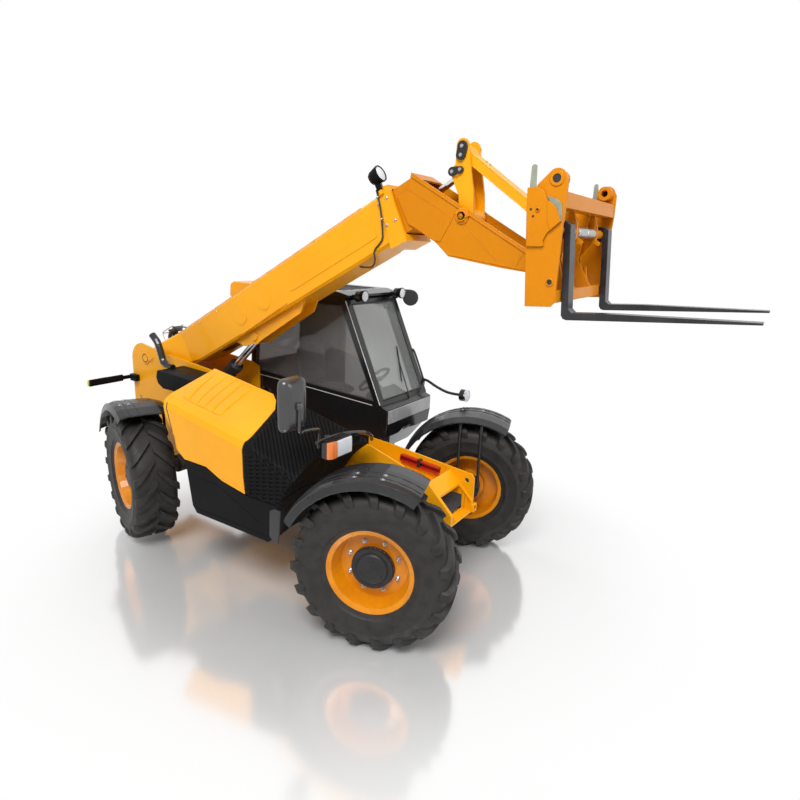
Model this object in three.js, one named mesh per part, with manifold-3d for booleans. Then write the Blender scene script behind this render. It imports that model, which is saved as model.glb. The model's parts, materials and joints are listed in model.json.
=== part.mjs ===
// A four-wheel-steer telescopic handler with pallet forks, as a scene graph of its separate pieces.
// Millimetres, +X forward, +Y to the driver's left, +Z up.
import * as THREE from "three";
import { mergeVertices } from "three/addons/utils/BufferGeometryUtils.js";
import Module from "manifold-3d";

const wasm = await Module();
wasm.setup();

// ---------------------------------------------------------------- driving dimensions

const WHEELBASE = 2750;
const GAP = 0.4; // between pieces that touch
const RUNNING = 1; // radial play of a pin in its bore
const CLEAR = 8; // between pieces that move past each other

const TYRE = { radius: 640, width: 410, crown: 200, facets: 28 };
const RIM = { flange: 332, width: 330, seat: 305, hub: 158 };
const KINGPIN = { halfTrack: 712, radius: 32, housing: 58, offset: 223 };
const YOKE = { inner: 125, outer: 160, radius: 60, web: 40 };
const AXLE = { tube: 90, bulge: 185, bulgeHalf: 120, taperHalf: 260, beamEnd: 560 };
const FENDER = { gap: 88, sheet: 12, overhang: 27, inboard: -30, lip: 76, frontAxle: 61, rearAxle: 66, rear: 153 };
const STEER_DEG = 19; // front wheels to the left, rear wheels to the right

const RAIL = { frontHalf: 205, midHalf: 240, sheet: 16, bottom: 480, midTop: 960, nose: 315 };
const TOWER = { half: 300, sheet: 20, overhang: 1035, front: -1000 };

const PIVOT = { overhang: 775, z: 1620, pin: 45 };
const BOOM_DEG = 28;
const BOOM = { half: 169, top: 83, bottom: -309, wall: 10, tailHalf: 258, head: 3557 };
const INNER = { play: 13, wall: 10, rear: 700, end: 3740 };
const NOSE = { half: 160, sheet: 15, pin: 35 };
const LEVER = { half: 100, sheet: 18, pin: 30 };
const LINK = { half: 70, boss: 48, above: 22, below: 46 };
const TILT_RAM = { barrel: 42, rod: 25, eye: 40, eyeHalf: 34, length: 640, pin: 24, draw: 145 };
const LIFT_RAM = { barrel: 70, rod: 38, eye: 44, length: 1230, pin: 40, overhang: 555, footZ: 822, draw: 400 };
const RAM_POCKET = { half: 80, rear: 900, front: 1640 }; // under the boom, over the lift ram's eye

const CARRIAGE = { half: 575, sheet: 20, innerHalf: 192, innerSheet: 20, pitchDeg: 3.8 };
const SHAFT = { x: 235, z: 216, radius: 30 };
const FORK = { width: 100, thick: 45, length: 1100, heel: -334, spacing: 880, tip: 12 };

const CAB = { right: 310, left: 1150, wall: 45, roofTop: 2490, roofBottom: 2432 };
const POD = { inner: -340, ridge: -520, outer: -1130, shell: 26 };
const GLASS = 6;

// Places along the boom, from its pivot: u along the boom, v square to it.
const LEVER_PIVOT = { u: 4034, v: -405 };
const LINK_TOP = { u: 4196, v: 32 };
const ROD_PIN = { u: 4095, v: -80 };
const CARRIAGE_PIVOT = { u: 4439, v: -985 };
const LINK_END = { x: -10, z: 322 }; // in the carriage's own upright frame
const TILT_FOOT = { u: 3150, v: -160 };
const LIFT_EYE = { u: 1510, v: -357 };

// ---------------------------------------------------------------- values worked out from them

const rad = THREE.MathUtils.degToRad;
const AXLE_HEIGHT = TYRE.radius * Math.cos(Math.PI / TYRE.facets);
const FRONT_X = WHEELBASE / 2;
const REAR_X = -WHEELBASE / 2;
const RAIL_FRONT = FRONT_X + RAIL.nose;
const TOWER_REAR = REAR_X - TOWER.overhang;
const PIVOT_X = REAR_X - PIVOT.overhang;
const LIFT_FOOT_X = REAR_X - LIFT_RAM.overhang;
const WHEEL_OUTER = KINGPIN.offset + TYRE.width / 2; // from the kingpin to the tyre's outer wall
const FENDER_INNER_R = TYRE.radius + FENDER.gap;
const FENDER_OUTER_R = FENDER_INNER_R + FENDER.sheet;
const FENDER_OUTER_Y = WHEEL_OUTER + FENDER.overhang;
const INNER_HALF = BOOM.half - BOOM.wall - INNER.play;
const INNER_TOP = BOOM.top - BOOM.wall - INNER.play;
const INNER_BOTTOM = BOOM.bottom + BOOM.wall + INNER.play;

// ---------------------------------------------------------------- materials

const paint = (color, roughness, metalness) =>
  new THREE.MeshStandardMaterial({ color, roughness, metalness });
const YELLOW = paint(0xf2a50c, 0.35, 0.1);
const BLACK_PLASTIC = paint(0x26282b, 0.5, 0);
const BLACK_PAINT = paint(0x17181a, 0.35, 0.2);
const DARK_STEEL = paint(0x3a3c40, 0.45, 0.6);
const CHROME = paint(0xc9ccd0, 0.15, 1);
const RUBBER = paint(0x1d1d1f, 0.85, 0);
const CAST = paint(0x4a4c50, 0.6, 0.5);
const CLEAR_GLASS = paint(0x9fb4ad, 0.08, 0);
const LAMP_GLASS = paint(0xe6e8ea, 0.1, 0.1);
const RED = paint(0xb51d1b, 0.4, 0.1);
const SEAT_CLOTH = paint(0x2c2f33, 0.9, 0);

// ---------------------------------------------------------------- solids

// A closed three.js geometry as a manifold-3d solid, its faces pointing out.
function solid(geometry) {
  const bare = geometry.clone();
  bare.deleteAttribute("normal");
  bare.deleteAttribute("uv");
  const merged = mergeVertices(bare, 1e-3);
  const index = merged.index.array;
  const keep = [];
  for (let i = 0; i < index.length; i += 3) {
    const [a, b, c] = [index[i], index[i + 1], index[i + 2]];
    if (a !== b && b !== c && c !== a) keep.push(a, b, c);
  }
  const build = (triVerts) =>
    new wasm.Manifold(
      new wasm.Mesh({ numProp: 3, vertProperties: merged.attributes.position.array, triVerts }),
    );
  const made = build(new Uint32Array(keep));
  return made.volume() < 0 ? build(new Uint32Array(keep.reverse())) : made;
}

const join = (...solids) => solids.flat().reduce((sum, next) => sum.add(next));
const cut = (from, ...tools) => tools.flat().reduce((left, tool) => left.subtract(tool), from);

// A named mesh of a solid.
function piece(name, made, material) {
  const { vertProperties, triVerts, numProp } = made.getMesh();
  const count = vertProperties.length / numProp;
  const positions = new Float32Array(count * 3);
  for (let i = 0; i < count; i++) {
    positions.set(vertProperties.subarray(i * numProp, i * numProp + 3), i * 3);
  }
  const geometry = new THREE.BufferGeometry();
  geometry.setAttribute("position", new THREE.BufferAttribute(positions, 3));
  geometry.setIndex(new THREE.BufferAttribute(triVerts, 1));
  geometry.computeVertexNormals();
  const mesh = new THREE.Mesh(geometry, material);
  mesh.name = name;
  return mesh;
}

function box(x0, x1, y0, y1, z0, z1) {
  const geometry = new THREE.BoxGeometry(x1 - x0, y1 - y0, z1 - z0);
  return solid(geometry.translate((x0 + x1) / 2, (y0 + y1) / 2, (z0 + z1) / 2));
}

const extrusion = (points, depth) =>
  new THREE.ExtrudeGeometry(new THREE.Shape(points.map(([a, b]) => new THREE.Vector2(a, b))), {
    depth,
    bevelEnabled: false,
  });

// An outline in X and Z, from y0 to y1.
const plateY = (points, y0, y1) =>
  solid(extrusion(points, y1 - y0).rotateX(Math.PI / 2).translate(0, y1, 0));

// The same on both sides of the middle plane, between two distances from it.
const platesY = (points, near, far) => [plateY(points, near, far), plateY(points, -far, -near)];

// An outline in Y and Z, from x0 to x1.
function plateX(points, x0, x1) {
  const turn = new THREE.Matrix4().makeBasis(
    new THREE.Vector3(0, 1, 0),
    new THREE.Vector3(0, 0, 1),
    new THREE.Vector3(1, 0, 0),
  );
  return solid(extrusion(points, x1 - x0).applyMatrix4(turn).translate(x0, 0, 0));
}

// An outline in X and Y, from z0 to z1.
const plateZ = (points, z0, z1) => solid(extrusion(points, z1 - z0).translate(0, 0, z0));

// A round bar between two points.
function bar(from, to, radius, sides = 16) {
  const a = new THREE.Vector3(...from);
  const b = new THREE.Vector3(...to);
  const geometry = new THREE.CylinderGeometry(radius, radius, a.distanceTo(b), sides);
  const turn = new THREE.Quaternion().setFromUnitVectors(
    new THREE.Vector3(0, 1, 0),
    b.clone().sub(a).normalize(),
  );
  const middle = a.clone().add(b).multiplyScalar(0.5);
  return solid(geometry.applyQuaternion(turn).translate(middle.x, middle.y, middle.z));
}

// A bar across the machine at (x, z), between y0 and y1.
const cross = (x, z, radius, y0, y1, sides = 20) => bar([x, y0, z], [x, y1, z], radius, sides);

// A profile of [radius, y] points turned about the Y axis, with a flat facet at the bottom.
const turned = (profile, sides) =>
  new THREE.LatheGeometry(
    profile.map(([r, y]) => new THREE.Vector2(r, y)),
    sides,
    Math.PI / sides,
  );

// A tube along a smooth curve through the points.
function tube(points, radius, steps, sides = 8) {
  const ring = [];
  for (let i = 0; i < sides; i++) {
    const angle = (2 * Math.PI * i) / sides;
    ring.push(new THREE.Vector2(radius * Math.cos(angle), radius * Math.sin(angle)));
  }
  const path = new THREE.CatmullRomCurve3(points.map((p) => new THREE.Vector3(...p)), false, "centripetal");
  const shape = new THREE.Shape(ring);
  return solid(new THREE.ExtrudeGeometry(shape, { steps, bevelEnabled: false, extrudePath: path }));
}

// A skin over equal rings of points, closed at both ends. Each ring is convex.
function loft(rings) {
  const size = rings[0].length;
  const index = [];
  rings.slice(1).forEach((ring, k) => {
    for (let i = 0; i < size; i++) {
      const a = k * size + i;
      const b = k * size + ((i + 1) % size);
      index.push(a, b, b + size, a, b + size, a + size);
    }
  });
  const last = (rings.length - 1) * size;
  for (let i = 1; i < size - 1; i++) {
    index.push(0, i + 1, i, last, last + i, last + i + 1);
  }
  const geometry = new THREE.BufferGeometry();
  geometry.setAttribute("position", new THREE.Float32BufferAttribute(rings.flat(2), 3));
  geometry.setIndex(index);
  return solid(geometry);
}

// The outline of a sheet that follows a path, its thickness to the left of the way the path runs.
function strip(path, thickness) {
  const normal = (i) => {
    const [[x0, z0], [x1, z1]] = [path[i], path[i + 1]];
    return new THREE.Vector2(z0 - z1, x1 - x0).normalize();
  };
  const last = path.length - 1;
  const inner = path.map(([x, z], i) => {
    const before = normal(Math.max(0, i - 1));
    const after = normal(Math.min(last - 1, i));
    const sum = before.clone().add(after);
    const scale = thickness / sum.dot(before);
    return [x + sum.x * scale, z + sum.y * scale];
  });
  return [...path, ...inner.reverse()];
}

// Points of an arc in a plane, angles in degrees.
function arc(x, z, radius, from, to, steps) {
  const points = [];
  for (let i = 0; i <= steps; i++) {
    const angle = rad(from + ((to - from) * i) / steps);
    points.push([x + radius * Math.cos(angle), z + radius * Math.sin(angle)]);
  }
  return points;
}

// ---------------------------------------------------------------- wheels, knuckles and axles

// The wheel's own frame: its middle plane at y = 0, and outboard towards side * y.
function rim(name, side) {
  const half = RIM.width / 2;
  const profile = [
    [0, -62],
    [150, -62],
    [150, 12],
    [286, 12],
    [298, 15 - half],
    [RIM.flange, -half],
    [RIM.seat, 25 - half],
    [RIM.seat, half - 25],
    [RIM.flange, half],
    [298, half - 15],
    [262, 34],
    [RIM.hub, 40],
    [RIM.hub, 78],
    [80, 104],
    [0, 104],
  ];
  return piece(name, solid(turned(profile.map(([r, y]) => [r, y * side]), TYRE.facets)), YELLOW);
}

function tyre(name) {
  const half = TYRE.width / 2;
  const rimHalf = RIM.width / 2;
  const wall = TYRE.radius - RIM.flange;
  const outline = [
    [RIM.seat + 1, rimHalf - 28],
    [RIM.flange + 3, rimHalf - 2],
    [RIM.flange + 0.1 * wall, half - 14],
    [RIM.flange + 0.45 * wall, half],
    [RIM.flange + 0.75 * wall, half - 8],
    [RIM.flange + 0.93 * wall, half - 38],
    [TYRE.radius, TYRE.crown / 2],
  ];
  const mirrored = outline.map(([r, y]) => [r, -y]).reverse();
  const ring = [...outline, ...mirrored, outline[0]];
  return piece(name, solid(turned(ring, TYRE.facets)), RUBBER);
}

// The knuckle's own frame: the kingpin on the Z axis, the wheel's axis at z = 0.
function knuckle(name, side) {
  const hubEnd = KINGPIN.offset - 62 - CLEAR;
  const pad = (x) => box(x - 16, x + 16, Math.min(-24 * side, 40 * side), Math.max(-24 * side, 40 * side), 40, 90);
  const made = join(
    bar([0, 0, -YOKE.inner + 7], [0, 0, YOKE.inner - 7], KINGPIN.housing),
    bar([0, 0, -YOKE.outer - 5], [0, 0, YOKE.outer + 5], KINGPIN.radius),
    bar([0, 30 * side, 0], [0, hubEnd * side, 0], YOKE.inner - 10, 24),
    pad(-100),
    pad(100),
  );
  return piece(name, made, DARK_STEEL);
}

// A mudguard over the wheel, with the two tubes that carry it on the knuckle.
function fender(name, side, front) {
  const y = (value) => value * side;
  const outer = FENDER_OUTER_Y;
  const outside = [
    [FENDER_OUTER_R - 40, FENDER.inboard],
    [FENDER_OUTER_R - 8, FENDER.inboard + 90],
    [FENDER_OUTER_R, 200],
    [FENDER_OUTER_R, outer - 70],
    [FENDER_OUTER_R - 18, outer - 20],
    [FENDER_OUTER_R - FENDER.lip, outer],
  ];
  const inside = outside.map(([r, at], i) => [r - (i < 5 ? FENDER.sheet : 0), at - (i > 2 ? 9 : 0)]);
  const profile = [...outside, ...inside.reverse(), outside[0]];
  const sheet = solid(turned(profile.map(([r, at]) => [r, y(at)]), 40));
  const far = 1000;
  const wedge = plateY([[0, 0], ...arc(0, 0, far, front, FENDER.rear, 6)], -far, far);
  // Seen from above, its inboard corners are cut back so that they pass the frame at full lock.
  const lock = plateZ(
    [
      [-far, y(100)],
      [-560, y(FENDER.inboard - 8)],
      [560, y(FENDER.inboard - 8)],
      [far, y(100)],
      [far, y(far)],
      [-far, y(far)],
    ],
    0,
    far,
  );
  const post = (x) =>
    tube(
      [
        [x, y(-8), 90 + GAP],
        [x, y(-8), 300],
        [x, y(-8), 560],
        [x, y(4), 640],
        [x, y(60), FENDER_INNER_R * 0.978],
      ],
      14,
      9,
    );
  return piece(name, join(sheet.intersect(wedge).intersect(lock), post(-100), post(100)), BLACK_PLASTIC);
}

function axle(name) {
  const housing = solid(
    turned(
      [
        [0, -AXLE.beamEnd],
        [AXLE.tube, -AXLE.beamEnd],
        [AXLE.tube, -AXLE.taperHalf],
        [AXLE.bulge, -AXLE.bulgeHalf],
        [AXLE.bulge, AXLE.bulgeHalf],
        [AXLE.tube, AXLE.taperHalf],
        [AXLE.tube, AXLE.beamEnd],
        [0, AXLE.beamEnd],
      ],
      20,
    ),
  );
  const yokes = [-1, 1].flatMap((side) => {
    const pin = KINGPIN.halfTrack * side;
    const webIn = side * (KINGPIN.halfTrack - KINGPIN.housing - 52);
    const webOut = side * (KINGPIN.halfTrack - KINGPIN.housing - 12);
    const web = box(
      -YOKE.web,
      YOKE.web,
      Math.min(webIn, webOut),
      Math.max(webIn, webOut),
      -YOKE.outer,
      YOKE.outer,
    );
    const beamTip = side * (AXLE.beamEnd - 20);
    const neck = box(-YOKE.web, YOKE.web, Math.min(beamTip, webOut), Math.max(beamTip, webOut), -70, 70);
    const ear = (z0, z1) =>
      join(
        bar([0, pin, z0], [0, pin, z1], YOKE.radius),
        box(-YOKE.web, YOKE.web, Math.min(webIn, pin), Math.max(webIn, pin), z0, z1),
      );
    return join(web, neck, ear(YOKE.inner, YOKE.outer), ear(-YOKE.outer, -YOKE.inner));
  });
  const bores = [-1, 1].map((side) =>
    bar(
      [0, KINGPIN.halfTrack * side, -300],
      [0, KINGPIN.halfTrack * side, 300],
      KINGPIN.radius + RUNNING,
    ),
  );
  return piece(name, cut(join(housing, ...yokes), ...bores), CAST);
}

// The space that a steered wheel and its mudguard sweep about the kingpin, grown by a margin.
function sweep(x, y, margin) {
  const reach = FENDER_OUTER_R + margin;
  const out = FENDER_OUTER_Y + margin;
  const steps = 12;
  const profile = [[0, AXLE_HEIGHT - reach]];
  for (let i = 0; i <= steps; i++) {
    const angle = Math.PI * (i / steps - 0.5);
    profile.push([Math.hypot(reach * Math.cos(angle), out), AXLE_HEIGHT + reach * Math.sin(angle)]);
  }
  profile.push([0, AXLE_HEIGHT + reach]);
  const geometry = turned(profile, 36).rotateX(Math.PI / 2);
  return solid(geometry.translate(x, y, 0));
}

// ---------------------------------------------------------------- chassis

function chassisFrame() {
  const front = RAIL_FRONT;
  const axleClear = AXLE_HEIGHT + AXLE.bulge + 13;
  const underside = [
    [front, 700],
    [front - 90, 700],
    [front - 110, axleClear],
    [FRONT_X - 205, axleClear],
    [FRONT_X - 255, RAIL.bottom],
    [560, RAIL.bottom],
  ];
  const rightTop = [
    [560, 1286],
    [front - 820, 1228],
    [front - 505, 1132],
    [front - 230, 1027],
    [front, 800],
  ];
  const leftTop = [
    [560, 1150],
    [front - 840, 1130],
    [front - 25, 1040],
    [front, 1005],
  ];
  const hook = cross(front - 70, 975, 22, 100, 300, 12);
  const inside = RAIL.frontHalf - RAIL.sheet;
  const right = plateY([...rightTop, ...underside], -RAIL.frontHalf, -inside);
  const left = cut(plateY([...leftTop, ...underside], inside, RAIL.frontHalf), hook);
  const apron = plateY(
    [
      [front - 248, 1032],
      [front - 230, 1029],
      [front, 802],
      [front, 784],
      [front - 242, 1012],
    ],
    -inside - 2,
    inside + 2,
  );
  const deck = box(600, front - 240, -inside - 2, inside + 2, 880, 892);
  const nosePlate = box(front - 90, front, -inside - 2, inside + 2, 700, 712);
  const noseFace = box(front - 12, front, -inside - 2, inside + 2, 700, 800);
  const cradleRear = box(FRONT_X - 250, FRONT_X - 195, -inside - 2, inside + 2, 560, 890);
  const cradleFront = box(FRONT_X + 215, FRONT_X + 240, -inside - 2, inside + 2, 705, 840);
  const pinRear = bar(
    [FRONT_X - 200, 0, AXLE_HEIGHT],
    [FRONT_X - AXLE.bulge - GAP, 0, AXLE_HEIGHT],
    50,
  );
  const mid = platesY(
    [
      [-1040, 520],
      [-1040, RAIL.midTop],
      [600, RAIL.midTop],
      [600, RAIL.bottom],
      [-900, RAIL.bottom],
    ],
    RAIL.midHalf - RAIL.sheet,
    RAIL.midHalf,
  );
  const belly = box(-960, FRONT_X - 255, -inside - 2, inside + 2, RAIL.bottom, RAIL.bottom + 14);
  const bellySide = box(-960, 600, -RAIL.midHalf, RAIL.midHalf, RAIL.bottom, RAIL.bottom + 14);
  const shoulders = [-1, 1].map((side) =>
    box(
      560,
      600,
      Math.min(side * inside, side * RAIL.midHalf),
      Math.max(side * inside, side * RAIL.midHalf),
      RAIL.bottom,
      RAIL.midTop,
    ),
  );
  const bulkhead = box(-560, -540, -RAIL.midHalf, RAIL.midHalf, RAIL.bottom, 760);
  const rearTie = box(-1040, -1020, -RAIL.midHalf, RAIL.midHalf, 520, 760);
  const podBearers = [-300, 350].map((x) => box(x - 40, x + 40, -RAIL.midHalf - 96, -RAIL.midHalf + 2, 640, 720));
  const cabBearers = [-400, 300].map((x) => box(x - 40, x + 40, RAIL.midHalf - 2, RAIL.midHalf + 96, 780, 856));
  const made = join(
    right,
    left,
    apron,
    deck,
    nosePlate,
    noseFace,
    cradleRear,
    cradleFront,
    pinRear,
    ...mid,
    belly,
    bellySide,
    ...shoulders,
    bulkhead,
    rearTie,
    ...podBearers,
    ...cabBearers,
  );
  // The lowered boom's nose comes down between the rails.
  const noseWell = box(front - 135, front + 10, -NOSE.half - 12, NOSE.half + 12, 716, 1100);
  return piece("chassis_frame", cut(made, noseWell), YELLOW);
}

function boomTower() {
  const inside = TOWER.half - TOWER.sheet;
  const seat = AXLE_HEIGHT + AXLE.tube + 18;
  const outline = [
    [TOWER_REAR, 1420],
    ...arc(PIVOT_X - 60, PIVOT.z - 40, 200, 172, 96, 6),
    [PIVOT_X + 290, 1719],
    [TOWER.front - 106, 1642],
    [TOWER.front, 1600],
    [TOWER.front, 620],
    [REAR_X + 150, 560],
    [REAR_X + 100, seat],
    [REAR_X - 100, seat],
    [REAR_X - 160, 560],
    [TOWER_REAR + 60, 560],
    [TOWER_REAR, 640],
  ];
  const plates = platesY(outline, inside, TOWER.half);
  const rearPlate = box(TOWER_REAR, TOWER_REAR + 18, -inside - 2, inside + 2, 640, 1330);
  const floor = box(TOWER_REAR + 4, REAR_X - 200, -inside - 2, inside + 2, 620, 640);
  const bulkhead = box(REAR_X - 218, REAR_X - 200, -inside - 2, inside + 2, 600, 760);
  const frontTie = box(TOWER.front - 70, TOWER.front - 40 - GAP, -inside - 2, inside + 2, 620, 760);
  const ballast = box(TOWER_REAR + 10, TOWER_REAR + 230, -inside - 2, inside + 2, 630, 1000);
  const lugs = platesY(
    [
      [LIFT_FOOT_X - 130, 636],
      ...arc(LIFT_FOOT_X, LIFT_RAM.footZ, 90, 170, 10, 6),
      [LIFT_FOOT_X + 130, 636],
    ],
    LIFT_RAM.barrel + CLEAR,
    LIFT_RAM.barrel + CLEAR + 22,
  );
  const footPin = cross(
    LIFT_FOOT_X,
    LIFT_RAM.footZ,
    LIFT_RAM.pin,
    -LIFT_RAM.barrel - CLEAR - 34,
    LIFT_RAM.barrel + CLEAR + 34,
  );
  const pin = cross(PIVOT_X, PIVOT.z, PIVOT.pin, -TOWER.half - 12, TOWER.half + 12);
  const seats = [-1, 1].map((side) =>
    box(
      REAR_X - 90,
      REAR_X + 90,
      side > 0 ? inside - 20 : -TOWER.half,
      side > 0 ? TOWER.half : -inside + 20,
      AXLE_HEIGHT + AXLE.tube + GAP,
      seat + 2,
    ),
  );
  const hitch = [
    box(TOWER_REAR - 30, TOWER_REAR + 4, -90, 90, 700, 720),
    box(TOWER_REAR - 30, TOWER_REAR + 4, -90, 90, 800, 820),
    bar([TOWER_REAR - 16, 0, 702], [TOWER_REAR - 16, 0, 860], 12),
  ];
  const made = join(
    ...plates,
    rearPlate,
    floor,
    bulkhead,
    frontTie,
    ballast,
    ...lugs,
    footPin,
    pin,
    ...seats,
    ...hitch,
  );
  return piece("boom_tower", made, YELLOW);
}

function safetyStrut() {
  const inside = RAIL.frontHalf - RAIL.sheet - GAP;
  const rear = RAIL_FRONT - 738;
  const outline = [
    [rear, 1075],
    [rear + 406, 1036],
    [rear + 400, 974],
    [rear - 6, 1013],
  ];
  const groove = [
    [rear + 8, 1060],
    [rear + 408, 1021],
    [rear + 404, 988],
    [rear - 2, 1027],
  ];
  const made = cut(plateY(outline, inside - 44, inside), plateY(groove, inside - 50, inside - 8));
  return piece("safety_strut", made, RED);
}

function rearLightBar() {
  const back = TOWER_REAR - GAP;
  const made = join(
    box(back - 26, back, -330, 330, 1340, 1405),
    box(back - 34, back - 6, -800, 800, 1355, 1392),
    ...[-1, 1].map((side) => bar([back - 20, side * 790, 1373], [back - 20, side * 815, 1373], 22, 12)),
  );
  return piece("rear_light_bar", made, BLACK_PLASTIC);
}

// ---------------------------------------------------------------- engine side

const POD_SIDE = [
  [-750, 1800],
  [-722, 1580],
  [-694, 1440],
  [-576, 1240],
  [-562, 1140],
  [-448, 1060],
  [-382, 659],
  [-331, 598],
  [540, 598],
  [1060, 1180],
  [1060, 1800],
];
const BONNET_SIDE = [
  [-900, 1072],
  [-178, 1066],
  [16, 988],
  [284, 942],
  [268, 1100],
  [266, 1340],
  [274, 1395],
  [-900, 1395],
];
// Above that, the seam is upright, so that the lid lifts out past the grille.
const BONNET_PLAN = [
  [-900, -1250],
  [268, -1250],
  [274, -1110],
  [282, -1035],
  [262, -950],
  [226, -801],
  [190, -677],
  [109, -582],
  [10, -521],
  [10, -400],
  [-900, -400],
];

// Stations along the pod: where its outer shoulder and its inner ridge stand.
const POD_STATIONS = [
  { x: -900, shoulder: 1606, ridge: 1768 },
  { x: 250, shoulder: 1400, ridge: 1585 },
  { x: 726, shoulder: 1256, ridge: 1470 },
  { x: 1100, shoulder: 1150, ridge: 1385 },
];

function podHull(inset) {
  const rings = POD_STATIONS.map(({ x, shoulder, ridge }) =>
    [
      [POD.outer + inset, 400 + inset],
      [POD.inner - inset, 400 + inset],
      [POD.inner - inset, ridge - 110 - inset],
      [POD.ridge, ridge - inset],
      [POD.outer + 90, shoulder + 20 - inset],
      [POD.outer + 22 + inset, shoulder - 18 - inset],
      [POD.outer + inset, shoulder - 70 - inset],
    ].map(([y, z]) => [x, y, z]),
  );
  return loft(rings);
}

function podSideInset(inset) {
  return POD_SIDE.map(([x, z]) => [x + (x < 0 ? inset : 0), z + (z < 1000 ? inset : 0)]);
}

// The pod's shell, closed over the wheel and open towards the chassis.
function podShell() {
  const arch = (margin) => sweep(FRONT_X, -KINGPIN.halfTrack, 12 + margin);
  const side = (inset) => plateY(podSideInset(inset), POD.outer - 100, POD.inner + 100);
  const outer = cut(podHull(0).intersect(side(0)), arch(0));
  const cavity = cut(podHull(POD.shell).intersect(side(POD.shell)), arch(POD.shell));
  const innerOpening = box(-700, 1100, POD.inner - 2 * POD.shell, POD.inner + 50, 640, 1330);
  return cut(outer, cavity, innerOpening.intersect(side(POD.shell)).subtract(arch(POD.shell)));
}

function enginePod() {
  const shell = podShell();
  const seam = 6;
  const lidRegion = (margin) => {
    const side = plateY(insetOutline(BONNET_SIDE, -margin), POD.outer - 60, POD.ridge - seam + margin);
    const top = plateZ(insetOutline(BONNET_PLAN, -margin), 1385 - margin, 1900);
    const inboard = box(-1000, 1200, POD.ridge - seam + margin, 0, 300, 2000);
    return join(side, cut(top, inboard));
  };
  const lid = lidRegion(0);
  const lidHole = lidRegion(seam);
  const lower = plateY(
    [
      [-1000, 400],
      [1200, 400],
      [1200, 930],
      [284 + seam, 942 - seam],
      [16, 988 - seam],
      [-178, 1066 - seam],
      [-1000, 1072 - seam],
    ],
    POD.outer - 50,
    POD.inner + 50,
  );
  const upper = plateY(
    [
      [-1000, 1075],
      [-178, 1070],
      [16, 992],
      [284, 946],
      [1200, 934],
      [1200, 1900],
      [-1000, 1900],
    ],
    POD.outer - 50,
    POD.inner + 50,
  );
  const largest = (made) => made.decompose().sort((a, b) => b.volume() - a.volume())[0];
  return [
    piece("bonnet", largest(shell.intersect(lid)), YELLOW),
    piece("engine_skirt", largest(shell.intersect(lower)), BLACK_PLASTIC),
    piece("engine_grille", largest(cut(shell.intersect(upper), lidHole)), BLACK_PLASTIC),
  ];
}

function engineBlock() {
  return piece("engine_block", box(-330, 240, -960, -420, 660, 1280), CAST);
}

function airCleanerBox() {
  const outline = [
    [-1480, 1500],
    [-1500, 1560],
    [-1480, 1632],
    [-790, 1600],
    [-790, 1455],
    [-1400, 1455],
  ];
  return piece("air_cleaner_box", plateY(outline, -640, -TOWER.half - 16), BLACK_PLASTIC);
}

function exhaustPipe() {
  const y = -480;
  const base = 1632 + GAP;
  const pipe = tube(
    [
      [-1440, y, base + 6],
      [-1520, y, base + 12],
      [-1590, y, 1690],
      [-1625, y, 1780],
      [-1665, y, 1870],
      [-1745, y, 1945],
    ],
    36,
    18,
    10,
  );
  const skim = box(-1600, -1300, y - 100, y + 100, 1500, base);
  return piece("exhaust_pipe", cut(pipe, skim), BLACK_PAINT);
}

// ---------------------------------------------------------------- cab

const CAB_SIDE = [
  [-1150, 1545],
  [-1095, 2395],
  [-1060, CAB.roofBottom],
  [140, CAB.roofBottom],
  [172, 2405],
  [610, 1432],
  [622, 1300],
  [622, 1130],
  [560, 1050],
  [440, 905],
  [400, 860],
  [-515, 860],
  [-530, 900],
  [-640, 1150],
  [-860, 1368],
  [-1030, 1388],
];
const DOOR_SIDE = [
  [-560, 1120],
  [-560, 2370],
  [110, 2370],
  [530, 1425],
  [525, 1300],
  [400, 940],
  [360, 905],
  [-440, 905],
];
const RIGHT_WINDOW = [
  [-1070, 1560],
  [-1020, 2350],
  [110, 2350],
  [520, 1470],
];

// The outline moved inwards along its corners' bisectors.
function insetOutline(points, inset) {
  const n = points.length;
  const area = points.reduce((sum, [x, z], i) => {
    const [nx, nz] = points[(i + 1) % n];
    return sum + x * nz - nx * z;
  }, 0);
  const sign = Math.sign(area);
  return points.map(([x, z], i) => {
    const [px, pz] = points[(i + n - 1) % n];
    const [nx, nz] = points[(i + 1) % n];
    const a = new THREE.Vector2(x - px, z - pz).normalize();
    const b = new THREE.Vector2(nx - x, nz - z).normalize();
    const na = new THREE.Vector2(-a.y, a.x).multiplyScalar(sign);
    const nb = new THREE.Vector2(-b.y, b.x).multiplyScalar(sign);
    const bisector = na.clone().add(nb);
    const scale = inset / Math.max(0.35, bisector.dot(na));
    return [x + bisector.x * scale, z + bisector.y * scale];
  });
}

function cabFrame() {
  const shell = plateY(CAB_SIDE, CAB.right, CAB.left);
  const room = plateY(insetOutline(CAB_SIDE, CAB.wall), CAB.right + CAB.wall, CAB.left - CAB.wall);
  const rightOpening = plateY(RIGHT_WINDOW, CAB.right - 10, CAB.right + CAB.wall + 10);
  const doorOpening = plateY(DOOR_SIDE, CAB.left - CAB.wall - 10, CAB.left + 10);
  const screen = plateY(
    [
      [520, 1470],
      [700, 1470],
      [330, 2370],
      [110, 2370],
    ],
    CAB.right + 60,
    CAB.left - 60,
  );
  const rear = box(-1200, -1030, CAB.right + 80, CAB.left - 80, 1640, 2320);
  const roof = box(-880, 60, CAB.right + 80, CAB.left - 80, 2340, 2500);
  return piece("cab_frame", cut(shell, room, rightOpening, doorOpening, screen, rear, roof), BLACK_PAINT);
}

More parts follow.
